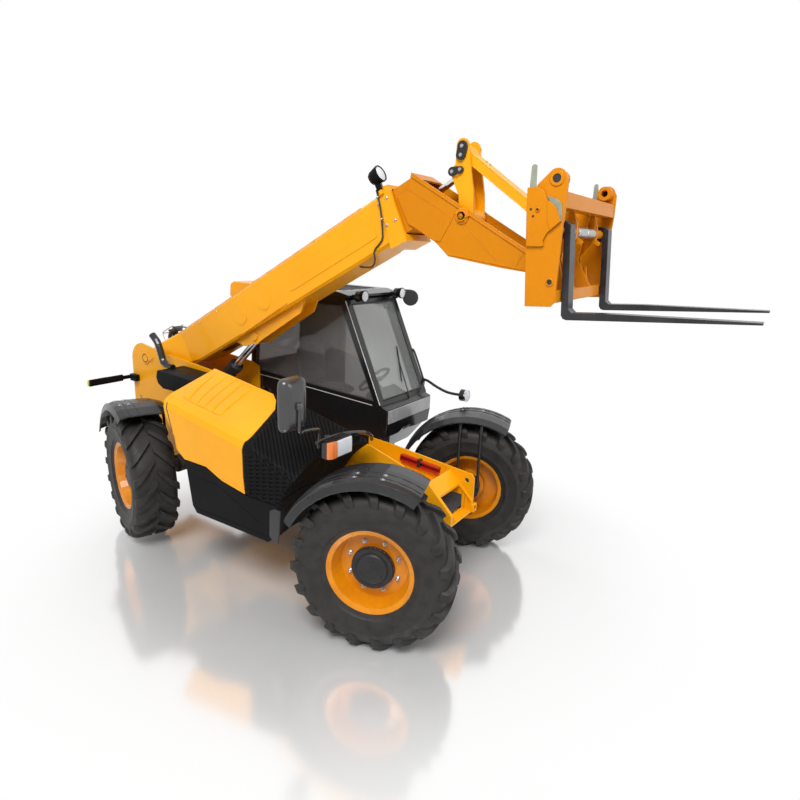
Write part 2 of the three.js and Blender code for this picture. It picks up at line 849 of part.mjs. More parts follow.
function cabRoof() {
  const outline = [
    [-1080, CAB.roofBottom + GAP],
    [-1080, CAB.roofTop - 24],
    [-1040, CAB.roofTop],
    [60, CAB.roofTop - 8],
    [200, CAB.roofBottom + 22],
    [205, CAB.roofBottom + GAP],
  ];
  const slab = plateY(outline, CAB.right - 8, CAB.left + 8);
  const hatch = box(-820, 20, CAB.right + 110, CAB.left - 110, 2400, 2600);
  const bars = [];
  const count = 5;
  for (let i = 0; i < count; i++) {
    const y = CAB.right + 110 + ((CAB.left - CAB.right - 220) * (i + 0.5)) / count;
    bars.push(box(-830, 30, y - 14, y + 14, 2440, 2478));
  }
  const lamps = [90, CAB.left - CAB.right - 90].flatMap((offset) => [
    box(180, 250, CAB.right + offset - 15, CAB.right + offset + 15, 2440, 2460),
    bar([235, CAB.right + offset, 2450], [320, CAB.right + offset, 2450], 48, 12),
  ]);
  return piece("cab_roof", join(cut(slab, hatch), ...bars, ...lamps), BLACK_PAINT);
}

function roofAirUnit() {
  const outline = [
    [-1110, 2200],
    [-1097, 2396],
    [-1090, 2478],
    [-1400, 2484],
    [-1452, 2455],
    [-1465, 2330],
    [-1400, 2290],
    [-1200, 2200],
  ];
  return piece("roof_air_unit", plateY(outline, CAB.right + 10, CAB.left - 60), YELLOW);
}

function cabCowl() {
  const outline = [
    [613, 1426],
    [680, 1400],
    [680, 1250],
    [660, 1120],
    [622 + GAP, 1120],
    [622 + GAP, 1300],
  ];
  const body = plateY(outline, CAB.right, CAB.left - 20);
  return piece("cab_cowl", cut(body, sweep(FRONT_X, KINGPIN.halfTrack, 12)), BLACK_PLASTIC);
}

function windscreen() {
  const slope = (610 - 172) / (2405 - 1432);
  const at = (z, out) => 610 - (z - 1432) * slope + out;
  const outline = [
    [at(1472, -14), 1472],
    [at(1472, -14 + GLASS), 1472],
    [at(2366, -14 + GLASS), 2366],
    [at(2366, -14), 2366],
  ];
  return piece("windscreen", plateY(outline, CAB.right + 61, CAB.left - 61), CLEAR_GLASS);
}

function rearWindow() {
  const slope = (1150 - 1095) / (2395 - 1545);
  const at = (z) => -1150 + (z - 1545) * slope + 18;
  const outline = [
    [at(1642), 1642],
    [at(1642) + GLASS, 1642],
    [at(2318) + GLASS, 2318],
    [at(2318), 2318],
  ];
  return piece("rear_window", plateY(outline, CAB.right + 81, CAB.left - 81), CLEAR_GLASS);
}

function rightWindow() {
  const pane = plateY(insetOutline(RIGHT_WINDOW, 1), CAB.right + 14, CAB.right + 14 + GLASS);
  return piece("right_window", pane, CLEAR_GLASS);
}

function cabDoor() {
  const outline = insetOutline(DOOR_SIDE, 6);
  const y0 = CAB.left - CAB.wall + 6;
  const frame = plateY(outline, y0, CAB.left);
  const windowOutline = [
    [-490, 1170],
    [-490, 2300],
    [70, 2300],
    [458, 1420],
    [455, 1310],
    [345, 985],
    [-380, 985],
  ];
  const opening = plateY(windowOutline, y0 - 10, CAB.left + 10);
  const pane = plateY(insetOutline(windowOutline, 1), CAB.left - 22, CAB.left - 22 + GLASS);
  return [
    piece("cab_door", cut(frame, opening), BLACK_PAINT),
    piece("door_window", pane, CLEAR_GLASS),
  ];
}

function cabInside() {
  const floor = 860 + CAB.wall + GAP;
  const middle = (CAB.right + CAB.left) / 2;
  const base = join(
    box(-560, -130, middle - 200, middle + 200, floor + 230, floor + 390),
    box(-440, -180, middle - 120, middle + 120, floor, floor + 240),
  );
  const seatTop = floor + 390 + GAP;
  const cushion = plateY(
    [
      [-180, seatTop],
      [-160, seatTop + 70],
      [-200, seatTop + 125],
      [-520, seatTop + 105],
      [-600, seatTop + 300],
      [-650, seatTop + 640],
      [-700, seatTop + 655],
      [-740, seatTop + 620],
      [-690, seatTop + 280],
      [-640, seatTop],
    ],
    middle - 235,
    middle + 235,
  );
  const console = join(
    plateY(
      [
        [250, floor],
        [400, floor + 40],
        [520, 1330],
        [505, 1430],
        [330, 1500],
        [280, 1450],
        [330, 1300],
      ],
      middle - 220,
      middle + 220,
    ),
    bar([340, middle, 1450], [230, middle, 1560], 22, 10),
    solid(
      new THREE.TorusGeometry(180, 16, 6, 20)
        .rotateY(rad(-45))
        .translate(222, middle, 1568),
    ),
    box(210, 236, middle - 170, middle + 170, 1554, 1580),
  );
  return [
    piece("seat_base", base, DARK_STEEL),
    piece("seat_cushion", cushion, SEAT_CLOTH),
    piece("console", console, BLACK_PLASTIC),
  ];
}

function fuelTank() {
  const tank = box(-480, 300, RAIL.midHalf + 98, 1040, 500, 800);
  const step = join(
    box(-260, 120, 1030, 1140, 520, 545),
    box(-260, -236, 1030, 1140, 520, 760),
    box(96, 120, 1030, 1140, 520, 760),
    box(-260, 120, 1030, 1110, 740, 765),
  );
  return piece("fuel_tank", join(tank, step), BLACK_PLASTIC);
}

function headlamps() {
  const right = join(
    plateZ(
      [
        [1010, -1030],
        [1075, -1040],
        [1090, -975],
        [1098, -965],
        [1098, -790],
        [1010, -790],
      ],
      1395,
      1535,
    ),
    tube(
      [
        [1000, -1075, 1520],
        [995, -900, 1520],
        [990, -700, 1500],
        [950, -400, 1420],
        [900, -240, 1330],
        [880, -214, 1300],
      ],
      17,
      14,
    ),
    tube(
      [
        [1000, -860, 1520],
        [960, -850, 1500],
        [880, -830, 1480],
        [820, -800, 1380],
      ],
      15,
      8,
    ),
    box(985, 1020, -890, -830, 1440, 1530),
  );
  const armY = CAB.left + 26;
  const left = join(
    box(500, 548, CAB.left + GAP, CAB.left + 34, 1530, 1560),
    tube(
      [
        [520, armY, 1546],
        [600, armY, 1540],
        [720, armY, 1490],
        [860, armY, 1450],
        [1040, armY, 1448],
      ],
      15,
      12,
    ),
    bar([1020, armY, 1450], [1085, armY, 1450], 62, 12),
  );
  return [piece("headlamp_right", cut(right, podHull(-GAP)), LAMP_GLASS), piece("headlamp_left", left, LAMP_GLASS)];
}

function mirrors() {
  const right = join(
    plateX(
      [
        [-1280, 1622],
        [-1240, 1600],
        [-1070, 1600],
        [-1030, 1622],
        [-1030, 1978],
        [-1070, 2004],
        [-1240, 2004],
        [-1280, 1978],
      ],
      800,
      850,
    ),
    bar([845, -1150, 1800], [900, -1150, 1800], 18, 8),
    bar([900, -1150, 1810], [900, -1150, 1610], 12, 8),
    tube(
      [
        [900, -1150, 1615],
        [905, -1120, 1605],
        [900, -980, 1580],
        [890, -920, 1570],
        [870, -900, 1540],
        [860, -900, 1400],
      ],
      12,
      14,
    ),
  );
  const left = join(
    bar([200, CAB.left - 40, 2474], [300, CAB.left + 110, 2466], 10, 8),
    bar([300, CAB.left + 110, 2474], [300, CAB.left + 110, 2330], 10, 8),
    bar([288, CAB.left + 128, 2390], [314, CAB.left + 84, 2390], 84, 16),
  );
  return [piece("mirror_right", cut(right, podHull(-GAP)), BLACK_PLASTIC), piece("mirror_left", left, BLACK_PLASTIC)];
}

// ---------------------------------------------------------------- boom, in its own frame: x = u, z = v

function boomOuter() {
  const h = BOOM.half;
  const w = BOOM.wall;
  const bevel = 22;
  const section = (half, top, bottom, b) => [
    [-half + b, bottom],
    [half - b, bottom],
    [half, bottom + b],
    [half, top - b],
    [half - b, top],
    [-half + b, top],
    [-half, top - b],
    [-half, bottom + b],
  ];
  const ring = (u, half, top, bottom, b) => section(half, top, bottom, b).map(([y, z]) => [u, y, z]);
  const tubeOuter = loft([
    ring(-108, BOOM.tailHalf, 62, -100, bevel),
    ring(190, BOOM.tailHalf, 78, -190, bevel),
    ring(560, h, BOOM.top, -286, bevel),
    ring(690, h, BOOM.top, BOOM.bottom, bevel),
    ring(BOOM.head - 20, h, BOOM.top, BOOM.bottom, bevel),
  ]);
  const bore = loft([
    ring(500, h - w, BOOM.top - w, BOOM.bottom + w + 60, bevel - 6),
    ring(690, h - w, BOOM.top - w, BOOM.bottom + w, bevel - 6),
    ring(BOOM.head + 40, h - w, BOOM.top - w, BOOM.bottom + w, bevel - 6),
  ]);
  const tailRoom = loft([
    ring(-200, BOOM.tailHalf - 22, 30, -150, 4),
    ring(190, BOOM.tailHalf - 22, 50, -172, 4),
    ring(505, h - w - 2, BOOM.top - w - 2, BOOM.bottom + w + 70, 4),
  ]);
  const collar = plateY(
    [
      [3461, 123],
      [3569, 105],
      [3556, -150],
      [3546, -352],
      [3382, -347],
    ],
    -h - 18,
    h + 18,
  );
  const bracket = platesY(
    [
      [1225, BOOM.bottom + 4],
      [1330, -395],
      ...arc(LIFT_EYE.u, LIFT_EYE.v, 84, 225, 300, 3),
      [2175, -393],
      [2290, BOOM.bottom + 4],
    ],
    RAM_POCKET.half,
    RAM_POCKET.half + 20,
  );
  const pocket = box(
    RAM_POCKET.rear,
    RAM_POCKET.front,
    -RAM_POCKET.half,
    RAM_POCKET.half,
    BOOM.bottom - 10,
    BOOM.bottom + w + 10,
  );
  const pivotTube = cross(0, 0, 92, -BOOM.tailHalf - 8, BOOM.tailHalf + 8, 24);
  const pivotBore = cross(0, 0, PIVOT.pin + RUNNING, -400, 400, 20);
  const eyePin = [-1, 1].map((side) =>
    cross(LIFT_EYE.u, LIFT_EYE.v, 46, Math.min(side * 98, side * 114), Math.max(side * 98, side * 114)),
  );
  const body = join(cut(tubeOuter, tailRoom), collar, ...bracket, pivotTube, ...eyePin);
  const lamp = join(
    box(3480, 3510, -h - 40, -h + 10, 60, 180),
    bar([3470, -h - 30, 205], [3545, -h - 30, 205], 52, 12),
  );
  return piece("boom_outer", cut(join(body, lamp), bore, pivotBore, pocket), YELLOW);
}

function boomHoses() {
  const bundle = [-28, 28].map((y) =>
    tube(
      [
        [150, y, 110],
        [170, y, 190],
        [240, y, 250],
        [340, y, 235],
        [410, y, 150],
        [440, y, 110],
      ],
      22,
      16,
    ),
  );
  const clampAt = (u) => box(u - 30, u + 30, -60, 60, BOOM.top + GAP, BOOM.top + 40);
  return piece("boom_hoses", join(...bundle, clampAt(150), clampAt(440)), RUBBER);
}

function boomInner() {
  const w = INNER.wall;
  const square = (half, top, bottom, u0, u1) => box(u0, u1, -half, half, bottom, top);
  const tubeSolid = square(INNER_HALF, INNER_TOP, INNER_BOTTOM, INNER.rear, INNER.end);
  const tubeRoom = square(INNER_HALF - w, INNER_TOP - w, INNER_BOTTOM + w, INNER.rear - 10, INNER.end + 10);
  const outline = [
    [3780, 88],
    [3699, -15],
    [3592, 0],
    [3596, -240],
    [3640, -294],
    [3756, -470],
    [3812, -612],
    [4162, -869],
    [4323, -977],
    ...arc(CARRIAGE_PIVOT.u, CARRIAGE_PIVOT.v, 66, 240, 410, 8),
    [4384, -827],
    [4259, -641],
    [4083, -372],
  ];
  const sides = platesY(outline, NOSE.half - NOSE.sheet - 2, NOSE.half);
  const floorPath = [
    [3600, -250],
    [3640, -294],
    [3756, -470],
    [3812, -612],
    [4162, -869],
    [4323, -977],
  ];
  const floor = plateY(strip(floorPath, 12), -NOSE.half + 4, NOSE.half - 4);
  const lid = plateY(
    [
      [3780, 88],
      [3838, 0],
      [3826, -8],
      [3776, 66],
      [3736, 20],
      [3728, 20],
    ],
    -NOSE.half + 4,
    NOSE.half - 4,
  );
  const leverPin = cross(LEVER_PIVOT.u, LEVER_PIVOT.v, NOSE.pin, -NOSE.half - 22, NOSE.half + 22);
  const leverBoss = [-1, 1].map((side) =>
    cross(
      LEVER_PIVOT.u,
      LEVER_PIVOT.v,
      54,
      Math.min(side * (LEVER.half + CLEAR), side * (NOSE.half + 8)),
      Math.max(side * (LEVER.half + CLEAR), side * (NOSE.half + 8)),
    ),
  );
  const footPin = cross(TILT_FOOT.u, TILT_FOOT.v, TILT_RAM.pin, -INNER_HALF + 2, INNER_HALF - 2);
  const bore = cross(CARRIAGE_PIVOT.u, CARRIAGE_PIVOT.v, NOSE.pin + RUNNING, -400, 400);
  const pocket = box(
    INNER.rear - 10,
    RAM_POCKET.front + 10,
    -RAM_POCKET.half,
    RAM_POCKET.half,
    INNER_BOTTOM - 10,
    INNER_BOTTOM + w + 10,
  );
  const made = join(cut(tubeSolid, tubeRoom, pocket), ...sides, floor, lid, leverPin, ...leverBoss, footPin);
  return piece("boom_inner", cut(made, bore), YELLOW);
}

// The lever's own frame: its pivot on the nose is the origin, and it is upright as the machine stands.
const toWorld = (place) => {
  const a = rad(BOOM_DEG);
  return {
    x: place.u * Math.cos(a) - place.v * Math.sin(a),
    z: place.u * Math.sin(a) + place.v * Math.cos(a),
  };
};
const between = (from, to) => {
  const a = toWorld(from);
  const b = toWorld(to);
  return { x: b.x - a.x, z: b.z - a.z };
};
const LEVER_TOP = between(LEVER_PIVOT, LINK_TOP);
const LEVER_ROD = between(LEVER_PIVOT, ROD_PIN);

function tiltLever() {
  const { x: tx, z: tz } = LEVER_TOP;
  const { x: qx, z: qz } = LEVER_ROD;
  const outline = [
    ...arc(0, 0, 62, 190, 350, 8),
    [46, 180],
    [22, 300],
    ...arc(tx, tz + 36, 50, -10, 170, 8),
    [qx - 14, qz + 54],
    ...arc(qx, qz, 50, 120, 220, 5),
    [-72, 150],
  ];
  const plates = platesY(outline, LEVER.half - LEVER.sheet, LEVER.half);
  const web = plateY(
    [
      [-12, 40],
      [2, 40],
      [-34, 245],
      [-48, 245],
    ],
    -LEVER.half + 2,
    LEVER.half - 2,
  );
  const hub = cross(0, 0, 62, -LEVER.half, LEVER.half, 24);
  const bore = cross(0, 0, NOSE.pin + RUNNING, -300, 300);
  const topPin = cross(tx, tz, LEVER.pin, -LEVER.half - 14, LEVER.half + 14);
  const rodPins = [-1, 1].map((side) =>
    cross(
      qx,
      qz,
      LEVER.pin,
      Math.min(side * (LEVER.half - 10), side * (LEVER.half + 14)),
      Math.max(side * (LEVER.half - 10), side * (LEVER.half + 14)),
    ),
  );
  return piece("tilt_lever", cut(join(...plates, web, hub, topPin, ...rodPins), bore), YELLOW);
}

// The link's own frame: its top pin is the origin.
function tiltLink(end) {
  const length = Math.hypot(end.x, end.z);
  const r = LINK.boss;
  const outline = [
    ...arc(0, 0, r, 70, 280, 8),
    [60, -LINK.below],
    [length - 60, -LINK.below],
    ...arc(length, 0, r, -100, 110, 8),
    [length - 60, LINK.above],
    [60, LINK.above],
  ];
  const bore = cross(0, 0, LEVER.pin + RUNNING, -200, 200);
  // The ram's eye swings up into a slot in the underside.
  const slotHalf = TILT_RAM.eyeHalf + CLEAR;
  const slot = box(-80, 150, -slotHalf, slotHalf, -90, -LINK.below + 24);
  const made = piece("tilt_link", cut(plateY(outline, -LINK.half, LINK.half), bore, slot), YELLOW);
  made.rotation.y = -Math.atan2(end.z, end.x);
  return made;
}

// A ram between a foot pin at the origin and an eye at the end: barrel and rod, along X.
function ram(names, size, distance, pinRadius, half) {
  const neck = size.length;
  const barrel = cut(
    join(
      cross(0, 0, size.barrel + 4, -half, half, 20),
      bar([0, 0, 0], [neck, 0, 0], size.barrel, 20),
      bar([neck - 60, 0, 0], [neck, 0, 0], size.barrel + 5, 20),
    ),
    cross(0, 0, pinRadius + RUNNING, -200, 200),
    bar([pinRadius + 90, 0, 0], [neck + 20, 0, 0], size.rod + RUNNING, 20),
  );
  const rod = join(
    bar([pinRadius + 100 + size.draw, 0, 0], [distance - 20, 0, 0], size.rod, 20),
    cross(distance, 0, size.eye, -half, half, 20),
  );
  return [piece(names[0], barrel, DARK_STEEL), piece(names[1], rod, CHROME)];
}

// ---------------------------------------------------------------- carriage and forks, upright about their pivot

function carriage() {
  const ear = { x: 236, z: 510 };
  const sideOutline = [
    [50, 378],
    [54, -246],
    [220, -247],
    [246, -217],
    [280, 242],
    [294, 350],
    [304, 498],
    ...arc(ear.x, ear.z, 58, 10, 140, 7),
    [118, 484],
  ];
  const outerFace = CARRIAGE.half;
  const sides = platesY(sideOutline, outerFace - CARRIAGE.sheet, outerFace);
  const bosses = [-1, 1].map((side) =>
    cross(
      ear.x,
      ear.z,
      50,
      Math.min(side * (outerFace - 95), side * outerFace),
      Math.max(side * (outerFace - 95), side * outerFace),
    ),
  );
  const earBore = cross(ear.x, ear.z, 24, -700, 700, 16);
  const topBeam = box(208, 292, -outerFace + 4, outerFace - 4, 340, 432);
  const bottomBeam = box(212, 256, -outerFace + 4, outerFace - 4, -222, -148);
  const bottomShelf = box(90, 230, -outerFace + 4, outerFace - 4, -222, -206);
  const innerOutline = [
    ...arc(0, 0, 70, 170, 300, 6),
    [214, -206],
    [252, -150],
    [150, 40],
    [226, 340],
    [226, 430],
    [60, 380],
    ...arc(LINK_END.x, LINK_END.z, 62, 60, 190, 5),
  ];
  const inner = platesY(innerOutline, CARRIAGE.innerHalf - CARRIAGE.innerSheet, CARRIAGE.innerHalf);
  const pivotPin = cross(0, 0, NOSE.pin, -CARRIAGE.innerHalf - 14, CARRIAGE.innerHalf + 14);
  const linkPins = [-1, 1].map((side) =>
    cross(
      LINK_END.x,
      LINK_END.z,
      34,
      Math.min(side * (CARRIAGE.innerHalf - 10), side * (CARRIAGE.innerHalf + 14)),
      Math.max(side * (CARRIAGE.innerHalf - 10), side * (CARRIAGE.innerHalf + 14)),
    ),
  );
  const shaft = cross(SHAFT.x, SHAFT.z, SHAFT.radius, -outerFace + 4, outerFace - 4);
  const hangers = platesY(
    [
      [150, 60],
      [262, 170],
      [268, 250],
      [240, 345],
      [212, 345],
      [190, 200],
      [120, 110],
    ],
    226,
    242,
  );
  const hangerFoot = platesY(
    [
      [150, 60],
      [120, 110],
      [100, -210],
      [214, -210],
      [190, -120],
    ],
    226,
    242,
  );
  const made = join(
    ...sides,
    ...bosses,
    topBeam,
    bottomBeam,
    bottomShelf,
    ...inner,
    pivotPin,
    ...linkPins,
    shaft,
    ...hangers,
    ...hangerFoot,
  );
  return piece("fork_carriage", cut(made, earBore), YELLOW);
}

function fork(name) {
  const back = 262;
  const face = back + FORK.thick;
  const tip = back + FORK.length;
  const half = FORK.width / 2;
  const heel = FORK.heel;
  const outline = [
    [back, heel + 30],
    [back + 12, heel + 8],
    [back + 34, heel],
    [tip, heel + 6],
    [tip, heel + 6 + FORK.tip],
    [face + 260, heel + FORK.thick],
    [face + 24, heel + FORK.thick],
    [face, heel + FORK.thick + 24],
    [face - 4, SHAFT.z + 30],
    [back + 6, SHAFT.z + 56],
    [back, SHAFT.z + 30],
  ];
  const eye = cross(SHAFT.x, SHAFT.z, SHAFT.radius + 24, -half, half, 20);
  const bore = cross(SHAFT.x, SHAFT.z, SHAFT.radius + RUNNING, -200, 200);
  return piece(name, cut(join(plateY(outline, -half, half), eye), bore), BLACK_PAINT);
}

// ---------------------------------------------------------------- the machine

function corner(end, side) {
  const group = new THREE.Group();
  const name = `${end > 0 ? "front" : "rear"}_${side > 0 ? "left" : "right"}`;
  group.position.set(end * FRONT_X, side * KINGPIN.halfTrack, AXLE_HEIGHT);
  group.rotation.z = rad(STEER_DEG * end);
  group.add(knuckle(`knuckle_${name}`, side));
  const wheel = new THREE.Group();
  wheel.position.y = side * KINGPIN.offset;
  wheel.add(rim(`rim_${name}`, side), tyre(`tyre_${name}`));
  group.add(wheel, fender(`fender_${name}`, side, end > 0 ? FENDER.frontAxle : FENDER.rearAxle));
  return group;
}

function axleAt(name, x) {
  const made = axle(name);
  made.position.set(x, 0, AXLE_HEIGHT);
  return made;
}

function boomAssembly() {
  const boom = new THREE.Group();
  boom.position.set(PIVOT_X, 0, PIVOT.z);
  boom.rotation.y = -rad(BOOM_DEG);
  boom.add(boomOuter(), boomHoses(), boomInner());

  const tiltFoot = new THREE.Group();
  const du = ROD_PIN.u - TILT_FOOT.u;
  const dv = ROD_PIN.v - TILT_FOOT.v;
  tiltFoot.position.set(TILT_FOOT.u, 0, TILT_FOOT.v);
  tiltFoot.rotation.y = -Math.atan2(dv, du);
  tiltFoot.add(...ram(["tilt_barrel", "tilt_rod"], TILT_RAM, Math.hypot(du, dv), TILT_RAM.pin, TILT_RAM.eyeHalf));
  boom.add(tiltFoot);

  // The lever, link and carriage stand upright, so their groups turn back by the boom's angle.
  const lever = new THREE.Group();
  lever.position.set(LEVER_PIVOT.u, 0, LEVER_PIVOT.v);
  lever.rotation.y = rad(BOOM_DEG);
  lever.add(tiltLever());
  boom.add(lever);

  const tool = new THREE.Group();
  tool.position.set(CARRIAGE_PIVOT.u, 0, CARRIAGE_PIVOT.v);
  tool.rotation.y = rad(BOOM_DEG - CARRIAGE.pitchDeg);
  tool.add(carriage());
  [-1, 1].forEach((side) => {
    const one = fork(side > 0 ? "fork_left" : "fork_right");
    one.position.y = (side * FORK.spacing) / 2;
    tool.add(one);
  });
  boom.add(tool);

  const link = new THREE.Group();
  link.position.set(LEVER_TOP.x, 0, LEVER_TOP.z);
  const pitch = rad(CARRIAGE.pitchDeg);
  const offset = between(LINK_TOP, CARRIAGE_PIVOT);
  link.add(
    tiltLink({
      x: offset.x + LINK_END.x * Math.cos(pitch) - LINK_END.z * Math.sin(pitch),
      z: offset.z + LINK_END.x * Math.sin(pitch) + LINK_END.z * Math.cos(pitch),
    }),
  );
  lever.add(link);
  return boom;
}

function liftRam() {
  const eye = toWorld(LIFT_EYE);
  const dx = PIVOT_X + eye.x - LIFT_FOOT_X;
  const dz = PIVOT.z + eye.z - LIFT_RAM.footZ;
  const group = new THREE.Group();
  group.position.set(LIFT_FOOT_X, 0, LIFT_RAM.footZ);
  group.rotation.y = -Math.atan2(dz, dx);
  const names = ["lift_barrel", "lift_rod"];
  group.add(...ram(names, LIFT_RAM, Math.hypot(dx, dz), LIFT_RAM.pin, LIFT_RAM.barrel));
  return group;
}

const machine = new THREE.Group();
machine.add(
  chassisFrame(),
  boomTower(),
  safetyStrut(),
  rearLightBar(),
  axleAt("front_axle", FRONT_X),
  axleAt("rear_axle", REAR_X),
  engineBlock(),
  ...enginePod(),
  airCleanerBox(),
  exhaustPipe(),
  cabFrame(),
  cabRoof(),
  roofAirUnit(),
  cabCowl(),
  windscreen(),
  rearWindow(),
  rightWindow(),
  ...cabDoor(),
  ...cabInside(),
  fuelTank(),
  ...headlamps(),
  ...mirrors(),
  boomAssembly(),
  liftRam(),
);
[1, -1].forEach((end) => [1, -1].forEach((side) => machine.add(corner(end, side))));

// The origin is under the middle of the whole machine, on the ground.
machine.updateMatrixWorld(true);
const extent = new THREE.Box3().setFromObject(machine, true);
machine.position.set(-(extent.min.x + extent.max.x) / 2, -(extent.min.y + extent.max.y) / 2, -extent.min.z);
const telehandler = new THREE.Group();
telehandler.add(machine);

export default telehandler;
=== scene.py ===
"""The looks of a four-wheel-steer telehandler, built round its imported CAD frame."""

import json
import math

import bmesh
import bpy
from mathutils import Matrix, Vector
from mathutils.bvhtree import BVHTree

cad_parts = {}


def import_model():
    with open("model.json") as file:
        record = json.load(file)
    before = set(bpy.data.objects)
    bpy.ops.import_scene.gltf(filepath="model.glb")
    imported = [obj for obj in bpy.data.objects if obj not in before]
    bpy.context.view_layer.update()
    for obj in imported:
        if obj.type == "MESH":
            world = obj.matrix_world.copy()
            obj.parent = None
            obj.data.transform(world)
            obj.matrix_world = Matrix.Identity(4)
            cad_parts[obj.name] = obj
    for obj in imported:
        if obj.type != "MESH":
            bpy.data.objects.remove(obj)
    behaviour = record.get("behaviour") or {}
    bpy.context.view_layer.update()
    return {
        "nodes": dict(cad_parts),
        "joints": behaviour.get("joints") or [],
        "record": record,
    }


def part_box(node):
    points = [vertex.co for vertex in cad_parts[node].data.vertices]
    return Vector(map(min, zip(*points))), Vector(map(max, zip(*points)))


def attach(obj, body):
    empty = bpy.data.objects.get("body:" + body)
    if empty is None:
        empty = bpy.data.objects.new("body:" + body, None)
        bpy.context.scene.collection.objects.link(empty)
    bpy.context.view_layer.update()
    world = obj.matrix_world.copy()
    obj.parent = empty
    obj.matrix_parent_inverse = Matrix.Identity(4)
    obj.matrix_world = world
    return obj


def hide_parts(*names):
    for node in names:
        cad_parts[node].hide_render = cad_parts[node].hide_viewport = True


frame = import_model()

MM = 0.001
JOINTS = {joint["name"]: joint for joint in frame["joints"]}
MOUNTS = {mount["name"]: mount for mount in frame["record"]["mounts"]}
CORNERS = ("front_right", "front_left", "rear_right", "rear_left")
X_AXIS, Y_AXIS, Z_AXIS = (1, 0, 0), (0, 1, 0), (0, 0, 1)
DOWN = (0, 0, -1)
CENTRE = (0, 0, 0)
SIDES = (("right", -1), ("left", 1))

# Where rays start, in millimetres, well over the machine and well out from its right side.
ABOVE = 3000
BESIDE = -1700


# ---------------------------------------------------------------- places


def joint_at(name):
    return Vector(JOINTS[name]["pos_m"])


def joint_axis(name):
    return Vector(JOINTS[name]["axis"]).normalized()


def placed(origin, forward, left=Y_AXIS):
    """A matrix from millimetres in a local frame, x forward and z up, to the row frame."""
    x = Vector(forward).normalized()
    y = Vector(left).normalized()
    z = x.cross(y)
    turn = Matrix((x, y, z)).transposed().to_4x4()
    return Matrix.Translation(origin) @ turn @ Matrix.Scale(MM, 4)


def on_plane(point):
    return Vector((point.x, 0, point.z))


AXLE_MIDDLE = (joint_at("steer_front_right") + joint_at("steer_rear_right")) / 2
MACHINE = placed((AXLE_MIDDLE.x, 0, 0), X_AXIS)
BOOM = placed(on_plane(joint_at("boom_lift")), joint_axis("boom_extend"))
CARRIAGE = placed(on_plane(joint_at("carriage_tilt")), MOUNTS["carriage_face"]["axis"])
LEVER = placed(on_plane(joint_at("tilt_lever_turn")), X_AXIS)
TO_MACHINE = MACHINE.inverted()


def wheel_frame(corner):
    """The wheel's own frame: y points outwards along its axle, x lies level."""
    side = 1 if corner.endswith("left") else -1
    out = joint_axis(f"roll_{corner}") * side
    centre = joint_at(f"roll_{corner}")
    x = Vector((out.y, -out.x, 0)) * side
    turn = Matrix((x, out, Vector(Z_AXIS))).transposed().to_4x4()
    return Matrix.Translation(centre) @ turn @ Matrix.Scale(MM, 4)


# ---------------------------------------------------------------- materials


def node(tree, kind, **values):
    """A new node, its sockets and settings given by name."""
    made = tree.nodes.new(kind)
    for key, value in values.items():
        if key in made.inputs:
            made.inputs[key].default_value = value
        else:
            setattr(made, key, value)
    return made


def material(name, **kw):
    """A procedural surface: two shades of one colour, a varied roughness and a fine grain."""
    color = kw["color"]
    shade = kw.get("shade", [channel * 0.86 for channel in color[:3]])
    made = bpy.data.materials.new(name)
    made.use_nodes = True
    tree = made.node_tree
    surface = tree.nodes["Principled BSDF"]
    link = tree.links.new
    place = node(tree, "ShaderNodeTexCoord").outputs["Object"]

    cloud = node(tree, "ShaderNodeTexNoise", Scale=kw.get("cloud", 2.2), Detail=6.0, Roughness=0.6)
    link(place, cloud.inputs["Vector"])
    spread = node(tree, "ShaderNodeValToRGB")
    stops = zip(spread.color_ramp.elements, kw.get("spread", (0.35, 0.7)), (shade, color))
    for stop, position, tint in stops:
        stop.position = position
        stop.color = (*tint[:3], 1)
    link(cloud.outputs["Fac"], spread.inputs["Fac"])
    link(spread.outputs["Color"], surface.inputs["Base Color"])

    rough = kw.get("roughness", 0.4)
    vary = kw.get("vary", 0.06)
    smear = node(tree, "ShaderNodeTexNoise", Scale=kw.get("smear", 9.0), Detail=4.0)
    link(place, smear.inputs["Vector"])
    limits = {"To Min": max(0.02, rough - vary), "To Max": min(1.0, rough + vary)}
    between = node(tree, "ShaderNodeMapRange", **limits)
    link(smear.outputs["Fac"], between.inputs["Value"])
    link(between.outputs["Result"], surface.inputs["Roughness"])

    grain = node(tree, kw.get("grain", "ShaderNodeTexNoise"), Scale=kw.get("grain_scale", 420.0))
    link(place, grain.inputs["Vector"])
    bump = node(tree, "ShaderNodeBump", Strength=kw.get("bump", 0.08), Distance=kw.get("depth", 0.0006))
    height = "Distance" if "Distance" in grain.outputs else "Fac"
    link(grain.outputs[height], bump.inputs["Height"])
    if kw.get("edge", 0):
        soft = node(tree, "ShaderNodeBevel", samples=4, Radius=kw["edge"])
        link(soft.outputs["Normal"], bump.inputs["Normal"])
    link(bump.outputs["Normal"], surface.inputs["Normal"])

    surface.inputs["Metallic"].default_value = kw.get("metallic", 0.0)
    surface.inputs["Specular IOR Level"].default_value = kw.get("specular", 0.5)
    surface.inputs["Coat Weight"].default_value = kw.get("coat", 0.0)
    surface.inputs["Coat Roughness"].default_value = 0.12
    surface.inputs["Sheen Weight"].default_value = kw.get("sheen", 0.0)
    surface.inputs["Alpha"].default_value = kw.get("alpha", 1.0)
    if "glow" in kw:
        surface.inputs["Emission Color"].default_value = (*kw["glow"], 1)
        surface.inputs["Emission Strength"].default_value = kw.get("glow_strength", 0.2)
    made.diffuse_color = (*color[:3], 1)
    return made


